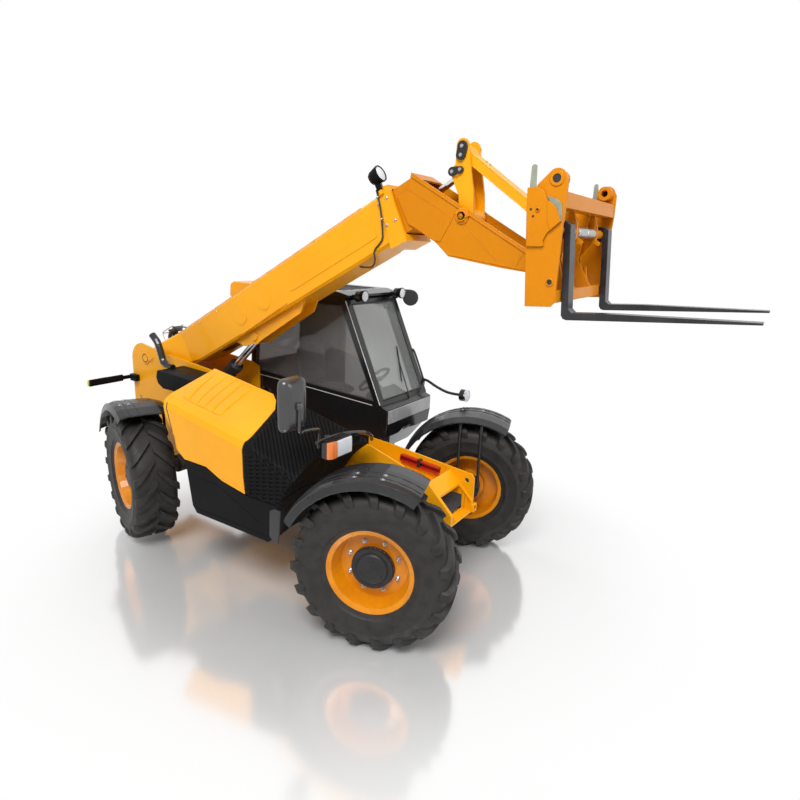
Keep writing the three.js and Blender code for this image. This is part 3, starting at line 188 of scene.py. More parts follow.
EDGE = 0.004
YELLOW = material(
    "yellow_paint", color=(0.84, 0.365, 0.003), shade=(0.77, 0.315, 0.002), cloud=1.3,
    roughness=0.36, vary=0.07, bump=0.05, grain_scale=160, depth=0.0004, coat=0.18, specular=0.22,
    edge=EDGE,
)
DEEP_YELLOW = material(
    "deep_yellow_paint", color=(0.6, 0.205, 0.0012), shade=(0.54, 0.18, 0.001), cloud=1.3,
    roughness=0.38, vary=0.07, bump=0.05, grain_scale=160, depth=0.0004, coat=0.1, specular=0.14,
    edge=EDGE,
)
RIM_YELLOW = material(
    "rim_paint", color=(0.68, 0.245, 0.002), shade=(0.56, 0.18, 0.002), cloud=6, roughness=0.36,
    vary=0.08, bump=0.06, grain_scale=180, coat=0.2, specular=0.25, edge=EDGE,
)
BLACK_PAINT = material(
    "black_paint", color=(0.012, 0.012, 0.013), shade=(0.008, 0.008, 0.008), roughness=0.24,
    vary=0.06, bump=0.05, grain_scale=220, coat=0.3, specular=0.3, edge=EDGE,
)
FORK_PAINT = material(
    "fork_paint", color=(0.014, 0.014, 0.016), shade=(0.03, 0.03, 0.033), cloud=5,
    spread=(0.3, 0.62), roughness=0.3, vary=0.1, bump=0.15, grain_scale=90, coat=0.12,
    specular=0.22, edge=EDGE,
)
BLACK_PLASTIC = material(
    "black_plastic", color=(0.008, 0.008, 0.0085), shade=(0.005, 0.005, 0.0055), specular=0.06,
    grain="ShaderNodeTexVoronoi", grain_scale=520, bump=0.22, roughness=0.44, vary=0.07, edge=EDGE,
)
# A pale grey that paints the highlight on the ledge below the windscreen. The cowl itself is black.
PALE_COWL_HIGHLIGHT = material(
    "cowl_highlight_grey", color=(0.36, 0.36, 0.37), shade=(0.22, 0.22, 0.23), cloud=2.0, spread=(0.3, 0.7),
    roughness=0.28, vary=0.06, bump=0.05, coat=0.4,
)
GREY_GLOSS = material(
    "mirror_shell", color=(0.035, 0.035, 0.037), shade=(0.022, 0.022, 0.024),
    grain="ShaderNodeTexVoronoi", grain_scale=500, bump=0.08, roughness=0.26, vary=0.05, coat=0.4,
)
GREY_PLASTIC = material(
    "grey_plastic", color=(0.036, 0.036, 0.038), shade=(0.026, 0.026, 0.028), specular=0.3,
    grain="ShaderNodeTexVoronoi", grain_scale=480, bump=0.2, roughness=0.42, vary=0.08, edge=EDGE,
)
FENDER_PLASTIC = material(
    "fender_plastic", color=(0.022, 0.022, 0.023), shade=(0.015, 0.015, 0.016), specular=0.3,
    grain="ShaderNodeTexVoronoi", grain_scale=420, bump=0.12, roughness=0.3, vary=0.08, coat=0.15,
    edge=EDGE,
)
HUB_PAINT = material(
    "hub_paint", color=(0.027, 0.026, 0.028), shade=(0.017, 0.017, 0.018), specular=0.25, cloud=12,
    roughness=0.45, vary=0.1, bump=0.3, grain_scale=130, metallic=0.1, edge=EDGE,
)
CAST_IRON = material(
    "cast_iron", color=(0.045, 0.044, 0.043), shade=(0.025, 0.024, 0.024), cloud=14, roughness=0.6,
    vary=0.12, bump=0.5, grain_scale=170, metallic=0.15, edge=EDGE,
)
STEEL = material(
    "bare_steel", color=(0.55, 0.55, 0.56), shade=(0.36, 0.35, 0.34), cloud=30, roughness=0.3,
    vary=0.1, bump=0.2, grain_scale=260, metallic=0.95, edge=0.001,
)
CHROME = material(
    "polished_rod", color=(0.78, 0.79, 0.81), shade=(0.7, 0.71, 0.73), cloud=20, roughness=0.14,
    vary=0.04, bump=0.03, grain_scale=500, metallic=1.0,
)
RUBBER = material(
    "tyre_rubber", specular=0.3, color=(0.012, 0.011, 0.0105), shade=(0.022, 0.02, 0.018), cloud=9,
    spread=(0.42, 0.66), roughness=0.56, vary=0.14, smear=22, bump=0.35, grain_scale=150,
    depth=0.001, edge=0.003,
)
HOSE = material(
    "hose_rubber", color=(0.014, 0.014, 0.014), shade=(0.02, 0.02, 0.02), roughness=0.42, vary=0.06,
    bump=0.25, grain_scale=700,
)
# Black rubber for the seals, straps and mud flap. The same black paints the shade in the tower pin bores, the
# carriage holes and the bonnet's rear slot.
SEAL_AND_SHADE = material(
    "rubber_seal_and_painted_shade", color=(0.01, 0.01, 0.01), shade=(0.016, 0.016, 0.016), roughness=0.5, bump=0.2,
    grain_scale=600,
)
# Pale trim for the belt line. The same colour paints the highlight along the A-pillar's edge.
PALE_TRIM_AND_HIGHLIGHT = material(
    "pale_trim_and_painted_highlight", color=(0.62, 0.63, 0.63), shade=(0.45, 0.46, 0.46), cloud=40, roughness=0.25,
    vary=0.08, bump=0.1, metallic=0.3,
)
RED_PAINT = material(
    "red_paint", color=(0.48, 0.016, 0.012), shade=(0.36, 0.01, 0.008), cloud=7, roughness=0.3,
    vary=0.08, bump=0.08, coat=0.4, edge=0.002,
)
LATCH_PAINT = material(
    "latch_paint", color=(0.3, 0.32, 0.24), shade=(0.2, 0.22, 0.17), cloud=10, roughness=0.45,
    vary=0.1, bump=0.12, edge=0.002,
)
GLASS = material(
    "cab_glass", color=(0.19, 0.185, 0.18), shade=(0.14, 0.137, 0.133), roughness=0.03, vary=0.015,
    bump=0.01, alpha=0.5, specular=0.6,
)
CLEAR_GLASS = material(
    "clear_screen", color=(0.42, 0.45, 0.43), shade=(0.34, 0.37, 0.355), roughness=0.03, vary=0.015,
    bump=0.01, alpha=0.26, specular=0.7,
)
LENS = material(
    "lamp_lens", color=(0.72, 0.74, 0.78), shade=(0.6, 0.62, 0.66), grain="ShaderNodeTexVoronoi",
    grain_scale=260, bump=0.5, depth=0.001, roughness=0.08, vary=0.04, specular=0.8, coat=0.5,
)
AMBER = material(
    "amber_lens", color=(0.85, 0.24, 0.03), shade=(0.7, 0.16, 0.02), grain="ShaderNodeTexVoronoi",
    grain_scale=240, bump=0.5, depth=0.001, roughness=0.12, vary=0.04, coat=0.5,
)
RED_LENS = material(
    "red_lens", color=(0.5, 0.01, 0.008), shade=(0.36, 0.008, 0.006), grain="ShaderNodeTexVoronoi",
    grain_scale=240, bump=0.5, depth=0.001, roughness=0.12, vary=0.04, coat=0.5,
)
LIME_LENS = material(
    "lime_reflector", color=(0.62, 0.66, 0.02), shade=(0.5, 0.55, 0.02),
    grain="ShaderNodeTexVoronoi", grain_scale=240, bump=0.5, depth=0.001, roughness=0.15, vary=0.04,
    coat=0.4,
)
MIRROR = material(
    "mirror_glass", color=(0.85, 0.87, 0.88), shade=(0.8, 0.82, 0.83), roughness=0.03, vary=0.01,
    metallic=1.0, bump=0.01,
)
BRASS = material(
    "plated_fitting", color=(0.6, 0.5, 0.24), shade=(0.45, 0.36, 0.15), cloud=30, roughness=0.35,
    metallic=0.9,
)


def woven(name, color, shade):
    """A seat cloth: two crossed waves make its weave."""
    made = material(name, color=color, shade=shade, roughness=0.86, vary=0.05, sheen=0.35, cloud=6)
    tree = made.node_tree
    place = next(n for n in tree.nodes if n.type == "TEX_COORD").outputs["Object"]
    waves = []
    for direction in ("X", "Z"):
        wave = node(tree, "ShaderNodeTexWave", bands_direction=direction, Scale=190.0, Distortion=0.6)
        tree.links.new(place, wave.inputs["Vector"])
        waves.append(wave.outputs["Fac"])
    crossed = node(tree, "ShaderNodeMath", operation="MULTIPLY")
    tree.links.new(waves[0], crossed.inputs[0])
    tree.links.new(waves[1], crossed.inputs[1])
    bump = next(n for n in tree.nodes if n.type == "BUMP")
    bump.inputs["Strength"].default_value = 0.6
    bump.inputs["Distance"].default_value = 0.0012
    tree.links.new(crossed.outputs["Value"], bump.inputs["Height"])
    return made


SEAT_CLOTH = woven("seat_cloth", (0.03, 0.03, 0.034), (0.018, 0.018, 0.02))

# The slot that each look stands for, unless a piece says another.
LOOK_SLOTS = {
    "cab_glass": (CLEAR_GLASS,),
    "chrome_rod": (CHROME, MIRROR, PALE_TRIM_AND_HIGHLIGHT),
    "lamp_lens": (AMBER, LENS, LIME_LENS, RED_LENS),
    "paint_yellow": (DEEP_YELLOW, RIM_YELLOW, YELLOW),
    "plastic_black": (BLACK_PLASTIC, PALE_COWL_HIGHLIGHT, FENDER_PLASTIC, GREY_GLOSS, GREY_PLASTIC),
    "rubber_hose": (HOSE, SEAL_AND_SHADE),
    "seat_cloth": (SEAT_CLOTH,),
    "steel_dark": (BLACK_PAINT, BRASS, HUB_PAINT, LATCH_PAINT, STEEL),
    "tyre_rubber": (RUBBER,),
}
SLOT_OF = {look: slot for slot, looks in LOOK_SLOTS.items() for look in looks}

NODE_LOOKS = {
    YELLOW: "chassis_frame boom_tower bonnet roof_air_unit boom_outer tilt_lever tilt_link",
    DEEP_YELLOW: "boom_inner fork_carriage",
    BLACK_PAINT: "exhaust_pipe cab_frame cab_roof cab_door cab_cowl headlamp_right headlamp_left",
    FORK_PAINT: "fork_right fork_left",
    BLACK_PLASTIC: "rear_light_bar engine_skirt engine_grille air_cleaner_box console fuel_tank",
    GREY_PLASTIC: "mirror_right mirror_left",
    CAST_IRON: "front_axle rear_axle engine_block",
    RED_PAINT: "safety_strut",
    GLASS: "rear_window right_window door_window",
    CLEAR_GLASS: "windscreen",
    HUB_PAINT: "seat_base tilt_barrel lift_barrel",
    CHROME: "tilt_rod lift_rod",
    HOSE: "boom_hoses",
    SEAT_CLOTH: "seat_cushion",
}
for look, kind in ((RIM_YELLOW, "rim"), (RUBBER, "tyre"), (FENDER_PLASTIC, "fender"), (HUB_PAINT, "knuckle")):
    NODE_LOOKS[look] = " ".join([NODE_LOOKS.get(look, ""), *(f"{kind}_{corner}" for corner in CORNERS)])
for look, names in NODE_LOOKS.items():
    for name in names.split():
        slots = frame["nodes"][name].data.materials
        slots.clear()
        slots.append(look)


# ---------------------------------------------------------------- mesh tools


def smooth_path(points, step):
    """Points along a smooth curve through the given ones, about a step apart."""
    points = [Vector(p) for p in points]
    if len(points) < 3:
        return points
    ends = [2 * points[0] - points[1], *points, 2 * points[-1] - points[-2]]
    made = []
    for a, b, c, d in zip(ends, ends[1:], ends[2:], ends[3:]):
        count = max(2, round((c - b).length / step))
        for i in range(count):
            t = i / count
            square, cube = 2 * a - 5 * b + 4 * c - d, 3 * b - a - 3 * c + d
            made.append(0.5 * (2 * b + (c - a) * t + square * t * t + cube * t**3))
    return [*made, points[-1]]


def arc(cx, cz, radius, start, end, count):
    """Points of an arc, in degrees."""
    angles = [math.radians(start + (end - start) * i / count) for i in range(count + 1)]
    return [(cx + radius * math.cos(a), cz + radius * math.sin(a)) for a in angles]


def turns(count):
    """The angles of a full turn in equal steps."""
    return [2 * math.pi * k / count for k in range(count)]


def bulge(value, power):
    """A sine or cosine raised to a power with its sign kept, for outlines between round and square."""
    return math.copysign(abs(value) ** power, value)


def swept(path, radii, sides):
    """Rings of points along a path, one for each radius, without needless twist."""
    normal = None
    rings = []
    for i, (p, radius) in enumerate(zip(path, radii)):
        ahead = (path[min(i + 1, len(path) - 1)] - path[max(i - 1, 0)]).normalized()
        normal = ahead.orthogonal() if normal is None else normal - ahead * normal.dot(ahead)
        normal.normalize()
        other = ahead.cross(normal)
        rings.append([p + (normal * math.cos(a) + other * math.sin(a)) * radius for a in turns(sides)])
    return rings


def rounded(obj, width, degrees):
    """A two-step bevel along the edges that turn by more than an angle."""
    edge = obj.modifiers.new("rounded", "BEVEL")
    edge.width = width * MM
    edge.segments = 2
    edge.limit_method = "ANGLE"
    edge.angle_limit = math.radians(degrees)
    edge.use_clamp_overlap = True


class Kit:
    """Gathers shapes, in millimetres in one local frame, into one mesh piece."""

    def __init__(self, local):
        self.local = local
        self.bm = bmesh.new()

    def faces(self, points, faces):
        made = [self.bm.verts.new(Vector(p)) for p in points]
        for face in faces:
            self.bm.faces.new([made[i] for i in face])

    def rings(self, rings, closed=False, caps=True):
        """Joins rings of the same number of points into one skin."""
        n, m = len(rings), len(rings[0])
        points = [p for ring in rings for p in ring]
        faces = []
        for i in range(n if closed else n - 1):
            j = (i + 1) % n
            for k in range(m):
                q = (k + 1) % m
                faces.append((i * m + k, i * m + q, j * m + q, j * m + k))
        if caps and not closed:
            faces += [tuple(range(m))[::-1], tuple(range((n - 1) * m, n * m))]
        self.faces(points, faces)
        return self

    def prism(self, outline, y0, y1):
        """An outline in x and z, from y0 to y1."""
        return self.rings([[(x, y, z) for x, z in outline] for y in (y0, y1)])

    def plan(self, outline, z0, z1):
        """An outline in x and y, from z0 to z1."""
        return self.rings([[(x, y, z) for x, y in outline] for z in (z0, z1)])

    def block(self, x0, x1, y0, y1, z0, z1):
        y0, y1 = sorted((y0, y1))
        return self.plan([(x0, y0), (x1, y0), (x1, y1), (x0, y1)], z0, z1)

    def lathe(self, profile, centre, axis, segments=24):
        """Turns a closed outline of (radius, height) points about an axis through centre."""
        axis = Vector(axis).normalized()
        side = axis.orthogonal().normalized()
        other = axis.cross(side)
        centre = Vector(centre)
        rings = []
        for a in turns(segments):
            out = side * math.cos(a) + other * math.sin(a)
            rings.append([centre + out * max(r, 0.01) + axis * h for r, h in profile])
        return self.rings(rings, closed=True)

    def disc(self, centre, axis, radius, height, chamfer=2.0, segments=24):
        """A turned disc with a chamfered rim."""
        c = min(chamfer, radius / 3, height / 2)
        profile = [(0, 0), (radius, 0), (radius, height - c), (radius - c, height), (0, height)]
        return self.lathe(profile, centre, axis, segments)

    def tube(self, points, radius, sides=10, step=40, smooth=True):
        path = smooth_path(points, step) if smooth else [Vector(p) for p in points]
        return self.rings(swept(path, [radius] * len(path), sides))

    def bolt(self, centre, axis, size=12.0):
        """A hexagon head with a domed top, on its washer."""
        axis = Vector(axis).normalized()
        washer = [(0, -1), (size * 1.15, -1), (size * 1.15, size * 0.16), (0, size * 0.16)]
        self.lathe(washer, centre, axis, 16)
        head = [(0, 0), (size, 0), (size, size * 0.55), (size * 0.82, size * 0.7), (0, size * 0.74)]
        return self.lathe(head, Vector(centre) + axis * size * 0.16, axis, 6)

    def make(self, name, body, look, slot=None, bevel=0.0, sharp=32, stands_for=()):
        """Turns the gathered shapes into one piece that rides on a body."""
        mesh = bpy.data.meshes.new(name)
        bmesh.ops.remove_doubles(self.bm, verts=self.bm.verts, dist=0.005)
        loose = [f for f in self.bm.faces if f.calc_area() < 1e-6]
        bmesh.ops.delete(self.bm, geom=loose, context="FACES_ONLY")
        bmesh.ops.recalc_face_normals(self.bm, faces=self.bm.faces)
        self.bm.transform(self.local)
        if self.local.determinant() < 0:
            bmesh.ops.reverse_faces(self.bm, faces=self.bm.faces)
        limit = math.radians(sharp)
        for edge in self.bm.edges:
            edge.smooth = len(edge.link_faces) == 2 and edge.calc_face_angle(math.pi) < limit
        for face in self.bm.faces:
            face.smooth = True
        self.bm.to_mesh(mesh)
        self.bm.free()
        made = bpy.data.objects.new(name, mesh)
        bpy.context.scene.collection.objects.link(made)
        mesh.materials.append(look)
        if bevel:
            rounded(made, bevel, 40)
        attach(made, body)
        slot = slot or SLOT_OF[look]
        if stands_for:
            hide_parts(*stands_for)
        return made


def surface_of(*names):
    """The faces of some CAD nodes, to lay ribs and lines on."""
    bm = bmesh.new()
    for name in names:
        bm.from_mesh(frame["nodes"][name].data)
    tree = BVHTree.FromBMesh(bm)
    bm.free()
    return tree


def soften(node_name, width):
    """Welds a CAD node's split corners and rounds its edges, by modifiers alone."""
    obj = frame["nodes"][node_name]
    weld = obj.modifiers.new("weld", "WELD")
    weld.merge_threshold = 0.00002
    rounded(obj, width, 42)


# ---------------------------------------------------------------- wheels


# Half the carcass outline, as (radius, distance from the middle).
TYRE_PROFILE = [
    (306, 138), (318, 150), (333, 164), (352, 172), (372, 180), (376, 186), (384, 188), (392, 186),
    (430, 195), (478, 200), (486, 203), (494, 200), (530, 194), (560, 182), (582, 162), (596, 128),
    (601, 70), (602, 0),
]
LUGS = 19
TREAD_RADIUS = 600
WALL_START, WALL_DROP = 180, 6

# One bar from the middle out: distance, degrees round, top radius, base radius, half width.
LUG_STATIONS = [
    (6, 0.0, 634, 594, 22),
    (52, 4.6, 635, 592, 25),
    (104, 9.8, 634, 588, 27),
    (150, 14.0, 629, 574, 30),
    (182, 16.4, 612, 552, 33),
    (200, 17.4, 584, 536, 32),
    (203, 17.9, 556, 530, 26),
    (196, 18.3, 524, 520, 12),
]


def tyre(corner):
    """A lugged tyre: a ringed carcass with slanting bars that run down its shoulders."""
    kit = Kit(wheel_frame(corner))
    mirrored = [(r, -y) for r, y in reversed(TYRE_PROFILE[:-1])]
    profile = [*TYRE_PROFILE, *mirrored, (304, -60), (304, 60)]
    kit.lathe(profile, CENTRE, Y_AXIS, 88)
    for side in (-1, 1):
        for i in range(LUGS):
            start = 360 / LUGS * (i + (0.5 if side > 0 else 0))
            rings = []
            for y, turn, top, base, half in LUG_STATIONS:
                ring = []
                for radius, width in ((base, half + 8), (top, half), (top, -half), (base, -half - 8)):
                    a = math.radians(start - turn) + width / TREAD_RADIUS
                    drop = 0 if radius == top or y < WALL_START else WALL_DROP
                    ring.append((radius * math.cos(a), side * (y - drop), radius * math.sin(a)))
                rings.append(ring)
            kit.rings(rings)
    replaced = [f"tyre_{corner}"]
    kit.make(f"tyre_tread_{corner}", f"wheel_{corner}", RUBBER, bevel=2.5, sharp=38, stands_for=replaced)


WHEEL_NUTS = 8
NUT_CIRCLE = 200


def wheel_hub(corner):
    """The dark planetary hub, its ring of wheel nuts and the valve."""
    local = wheel_frame(corner)
    hub = Kit(local)
    hub.lathe(
        [(0, 100), (158, 100), (158, 74), (166, 70), (166, 62), (128, 58), (128, 96), (0, 96)][::-1],
        CENTRE, Y_AXIS, 40,
    )
    hub.lathe([(0, 96), (118, 96), (122, 108), (112, 118), (60, 124), (0, 125)], CENTRE, Y_AXIS, 40)
    for turn in (90, 210, 330):
        a = math.radians(turn)
        hub.disc((78 * math.cos(a), 119, 78 * math.sin(a)), Y_AXIS, 12, 9, 3, 12)
    hub.make(f"hub_cover_{corner}", f"wheel_{corner}", HUB_PAINT)
    nuts = Kit(local)
    for i in range(WHEEL_NUTS):
        a = 2 * math.pi * (i + 0.5) / WHEEL_NUTS
        x, z = NUT_CIRCLE * math.cos(a), NUT_CIRCLE * math.sin(a)
        nuts.bolt((x, 38, z), Y_AXIS, 17)
        nuts.disc((x, 50, z), Y_AXIS, 9, 18, 3, 10)
    nuts.make(f"wheel_nuts_{corner}", f"wheel_{corner}", STEEL)
    rings = Kit(local)
    for radius, y, thick in ((331, 161, 5), (305, 140, 4), (290, 92, 3.5), (276, 58, 3.5)):
        ring = arc(radius, y, thick, 0, 360, 8)[:-1]
        rings.lathe(ring, CENTRE, Y_AXIS, 56)
    valve = math.radians(20)
    rings.tube(
        [(262 * math.cos(valve), y, 262 * math.sin(valve)) for y in (40, 70, 96)], 5, 8, 20, False,
    )
    rings.make(f"rim_beads_{corner}", f"wheel_{corner}", RIM_YELLOW)


for corner in CORNERS:
    tyre(corner)
    wheel_hub(corner)


# ---------------------------------------------------------------- fenders


FENDER_TOP = 739
FENDER_EDGE = 232
FENDER_END = 152
FENDER_START = {"front": 62, "rear": 67}


def fender_trim(corner):
    """The fender's rolled lip, its pressed ribs and the screws that hold it."""
    local = wheel_frame(corner)
    start = FENDER_START[corner.split("_")[0]]
    kit = Kit(local)
    for radius, y, thick in (
        (667, FENDER_EDGE - 9, 8), (FENDER_TOP, 40, 3.5),
        (FENDER_TOP, 120, 3.5), (724, FENDER_EDGE - 22, 4.5),
    ):
        path = [(x, y, z) for x, z in arc(0, 0, radius, start, FENDER_END, 30)]
        kit.tube(path, thick, 8, 30, False)
    kit.make(f"fender_lip_{corner}", f"hub_{corner}", FENDER_PLASTIC)
    screws = Kit(local)
    for turn in (84, 100):
        a = math.radians(turn)
        outward = Vector((math.cos(a), 0, math.sin(a)))
        for y in (75, 155):
            at = (FENDER_TOP * math.cos(a), y, FENDER_TOP * math.sin(a))
            screws.lathe([(0, -1), (17, -1), (17, 1.5), (0, 1.5)], at, outward, 20)
            screws.bolt(at, outward, 9)
    screws.make(f"fender_screws_{corner}", f"hub_{corner}", STEEL)


# ---------------------------------------------------------------- engine side


def lay(kit, tree, points, towards, half, height, keep=None):
    """Lays a rounded rib along points carried onto a surface."""
    towards = Vector(towards)
    runs = [[]]
    for point in points:
        hit, normal, _, _ = tree.ray_cast(MACHINE @ Vector(point), towards)
        if hit is None or normal.dot(towards) > -0.35 or (keep and not keep(TO_MACHINE @ hit)):
            runs.append([])
            continue
        at = TO_MACHINE @ hit
        if runs[-1] and (runs[-1][-1][0] - at).length > 60:
            runs.append([])
        runs[-1].append((at, normal))
    for run in runs:
        if len(run) < 3:
            continue
        rings = []
        for i, (at, normal) in enumerate(run):
            ahead = (run[min(i + 1, len(run) - 1)][0] - run[max(i - 1, 0)][0]).normalized()
            side = ahead.cross(normal).normalized()
            rise = height * (0.3 if i in (0, len(run) - 1) else 1)
            across = ((-1, -1.5), (-0.72, 0.72 * rise), (0, rise), (0.72, 0.72 * rise), (1, -1.5))
            rings.append([at + side * half * s + normal * h for s, h in across])
        kit.rings(rings)


# The lines between the louvres: left end, right end and bow, seen from above.
LOUVRE_LINES = [
    ((-765, -512), (-598, -1020), 20),
    ((-661, -508), (-506, -1025), 22),
    ((-525, -509), (-404, -1030), 20),
    ((-419, -512), (-314, -1021), 18),
    ((-318, -510), (-215, -1026), 16),
    ((-182, -517), (-122, -1013), 13),
]


def louvre_line(line, t):
    (x0, y0), (x1, y1), bow = line
    return Vector((x0 + (x1 - x0) * t - bow * math.sin(math.pi * t), y0 + (y1 - y0) * t))


def bonnet_details():
    """The bonnet's five lapped louvres, the line on its rear edge and its folded lower edge."""
    tree = surface_of("bonnet")
    kit = Kit(MACHINE)
    steps = across = 16
    for one, two in zip(LOUVRE_LINES, LOUVRE_LINES[1:]):
        rings = []
        for i in range(steps + 1):
            t = 0.025 + 0.95 * i / steps
            fade = min(1, 6 * t, 6 * (1 - t)) ** 0.5
            top, low = [], []
            for j in range(across + 1):
                s = j / across
                x, y = louvre_line(one, t).lerp(louvre_line(two, t), s)
                hit, normal, _, _ = tree.ray_cast(MACHINE @ Vector((x, y, ABOVE)), Vector(DOWN))
                if hit is None:
                    break
                at = TO_MACHINE @ hit
                rise = 11 * fade * (1 - abs(2 * s - 1) ** 7)
                top.append(at + normal * (rise + 0.4))
                low.append(at - normal * 2)
            if len(top) == across + 1:
                rings.append([*top, *reversed(low)])
        if len(rings) > 2:
            kit.rings(rings)
    kit.make("bonnet_louvres", "bonnet_lid", YELLOW, sharp=40)
    vent = Kit(MACHINE)
    # A black line along the bonnet's rear edge: painted shade in the slot there.
    points = [(-676 + 2.6 * k, BESIDE, 1540 - 9 * k) for k in range(30)]
    lay(vent, tree, points, Y_AXIS, 6, 2.5)
    vent.make("bonnet_rear_slot_shade", "bonnet_lid", SEAL_AND_SHADE, slot="plastic_black")
    edge = Kit(MACHINE)
    outline = [(-640, 1066), (-178, 1062), (16, 984), (250, 944)]
    for (x0, z0), (x1, z1) in zip(outline, outline[1:]):
        points = [(x0 + (x1 - x0) * k / 20, BESIDE, z0 + (z1 - z0) * k / 20 + 12) for k in range(21)]
        lay(edge, tree, points, Y_AXIS, 5, 3.5)
    edge.make("bonnet_edge_fold", "bonnet_lid", YELLOW)


# The bonnet's front edge, as (y, x) points from the right inwards.
SEAM = [
    (-1250, 268), (-1110, 274), (-1035, 282), (-950, 262), (-801, 226), (-677, 190), (-582, 109), (-521, 10),
]
SEAM_CLEARANCE = 24


def clear_of_seam(at):
    """True well forward of the bonnet's seam, so that the bonnet lifts past the ribs."""
    for (y0, x0), (y1, x1) in zip(SEAM, SEAM[1:]):
        if y0 <= at.y <= y1:
            return at.x > x0 + (x1 - x0) * (at.y - y0) / (y1 - y0) + SEAM_CLEARANCE
    return at.x > 60


def grille_details():
    """Ribs over the grille: straight on top, zigzag rows on the side."""
    tree = surface_of("engine_grille")
    kit = Kit(MACHINE)
    for i in range(34):
        start = -560 + 46 * i
        points = [(start + 22 * k, -430 - 17.6 * k, ABOVE) for k in range(44)]
        lay(kit, tree, points, DOWN, 14, 15, clear_of_seam)
    for i in range(28):
        rise = 640 + 34 * i
        points = []
        for k in range(70):
            x = 292 + 9 * k
            wave = 15 * (1 - abs((x / 36) % 2 - 1) * 2)
            points.append((x, BESIDE, rise + wave - 0.25 * (x - 292)))
        lay(kit, tree, points, Y_AXIS, 11, 12, lambda at: at.z < 1310 and at.y < -1085)
    kit.make("grille_ribs", "chassis", BLACK_PLASTIC, sharp=50)


def skirt_details():
    """The grey corner block on the skirt, and the skirt's two fold lines."""
    tree = surface_of("engine_skirt")
    kit = Kit(MACHINE)
    face = -1130
    outline = [(559, 660), (600, 618), (650, 618), (668, 700), (685, 905), (620, 910), (566, 880)]
    inner = [(x * 0.92 + 50, z * 0.92 + 62) for x, z in outline]
    kit.rings([
        [(x, face + 1, z) for x, z in outline],
        [(x, face - 5, z) for x, z in outline],
        [(x, face - 9, z) for x, z in inner],
    ])
    kit.make("skirt_corner_block", "chassis", GREY_PLASTIC, bevel=2)
    fold = Kit(MACHINE)
    points = [(-350 + 30 * k, BESIDE, 935 if k <= 10 else 1055 - 12 * k) for k in range(28)]
    lay(fold, tree, points, Y_AXIS, 5, 3)
    points = [(-340 + 30 * k, BESIDE, 640) for k in range(30)]
    lay(fold, tree, points, Y_AXIS, 6, 4)
    fold.make("skirt_folds", "chassis", BLACK_PLASTIC)


# ---------------------------------------------------------------- boom


BOOM_TOP, BOOM_BOTTOM = 83, -309
BOOM_SIDE, COLLAR_SIDE, NOSE_SIDE = 169, 187, 160


def weld(kit, points, radius=4.0, step=9):
    """A weld bead: a rippled line through the points."""
    if len(points) > 2:
        path = smooth_path(points, step)
    else:
        path = [Vector(points[0]).lerp(Vector(points[1]), k / 40) for k in range(41)]
    kit.rings(swept(path, [radius * (1 + 0.16 * math.sin(i * 2.2)) for i in range(len(path))], 8))


def boom_details():
    """The outer boom's discs, panels, ribs, welds and bolts, and the hoses on its collar."""
    kit = Kit(BOOM)
    welds = Kit(BOOM)
    for side in (-1, 1):
        y = BOOM_SIDE * side
        for u, v, radius in ((1500, -128, 90), (1863, -133, 85)):
            disc = [(0, -1), (radius, -1), (radius, 2), (radius - 4, 5), (0, 6)]
            kit.lathe(disc, (u, y, v), (0, side, 0), 48)
            seam = [2 * math.pi * k / 40 for k in range(41)]
            weld(welds, [(u + radius * math.cos(a), y + side, v + radius * math.sin(a)) for a in seam], 3.5)
        strip = [
            (2230, -135), (2260, -130), (3270, -130), (3300, -140),
            (3300, -190), (3270, -200), (2260, -200), (2230, -190),
        ]
        kit.prism(strip, y - side, y + 4 * side)
        rib = [(1429, -301), (2128, -275), (2128, -262), (1429, -288)]
        kit.prism(rib, y - side, y + 8 * side)
        for v in (BOOM_TOP - 6, BOOM_BOTTOM + 6):
            weld(welds, [(350, y + side, v), (3250, y + side, v)], 3.2)
    kit.make("boom_panels", "boom", YELLOW, bevel=1.5)
    welds.make("boom_welds", "boom", YELLOW)
    bolts = Kit(BOOM)
    for side in (-1, 1):
        for u, v in ((3431, -164), (3517, -165), (3431, 20), (3517, 20)):
            bolts.bolt((u, COLLAR_SIDE * side, v), (0, side, 0), 11)
        for u in (600, 900, 1200):
            bolts.bolt((u, BOOM_SIDE * side, 40), (0, side, 0), 8)
    for u in (3420, 3510):
        for y in (-110, 110):
            bolts.bolt((u, y, BOOM_TOP + 22), Z_AXIS, 11)
    bolts.make("boom_bolts", "boom", STEEL)
    hoses = Kit(BOOM)
    # Below the collar they stay inside its width, so that they pass between the rails.
    hoses.tube([
        (3462, -196, 117), (3440, -197, -8), (3405, -197, -120), (3372, -188, -190), (3330, -178, -245),
        (3250, -178, -272), (3215, -176, -300), (3190, -150, -335), (3116, -120, -372), (3000, -120, -318),
    ], 7)
    hoses.make("collar_hoses", "boom", HOSE)
    clips = Kit(BOOM)
    for u, v in ((3452, 60), (3412, -104)):
        clips.block(u - 12, u + 12, -208, -186, v - 6, v + 6)
    clips.make("collar_hose_clips", "boom", STEEL, bevel=1.5)


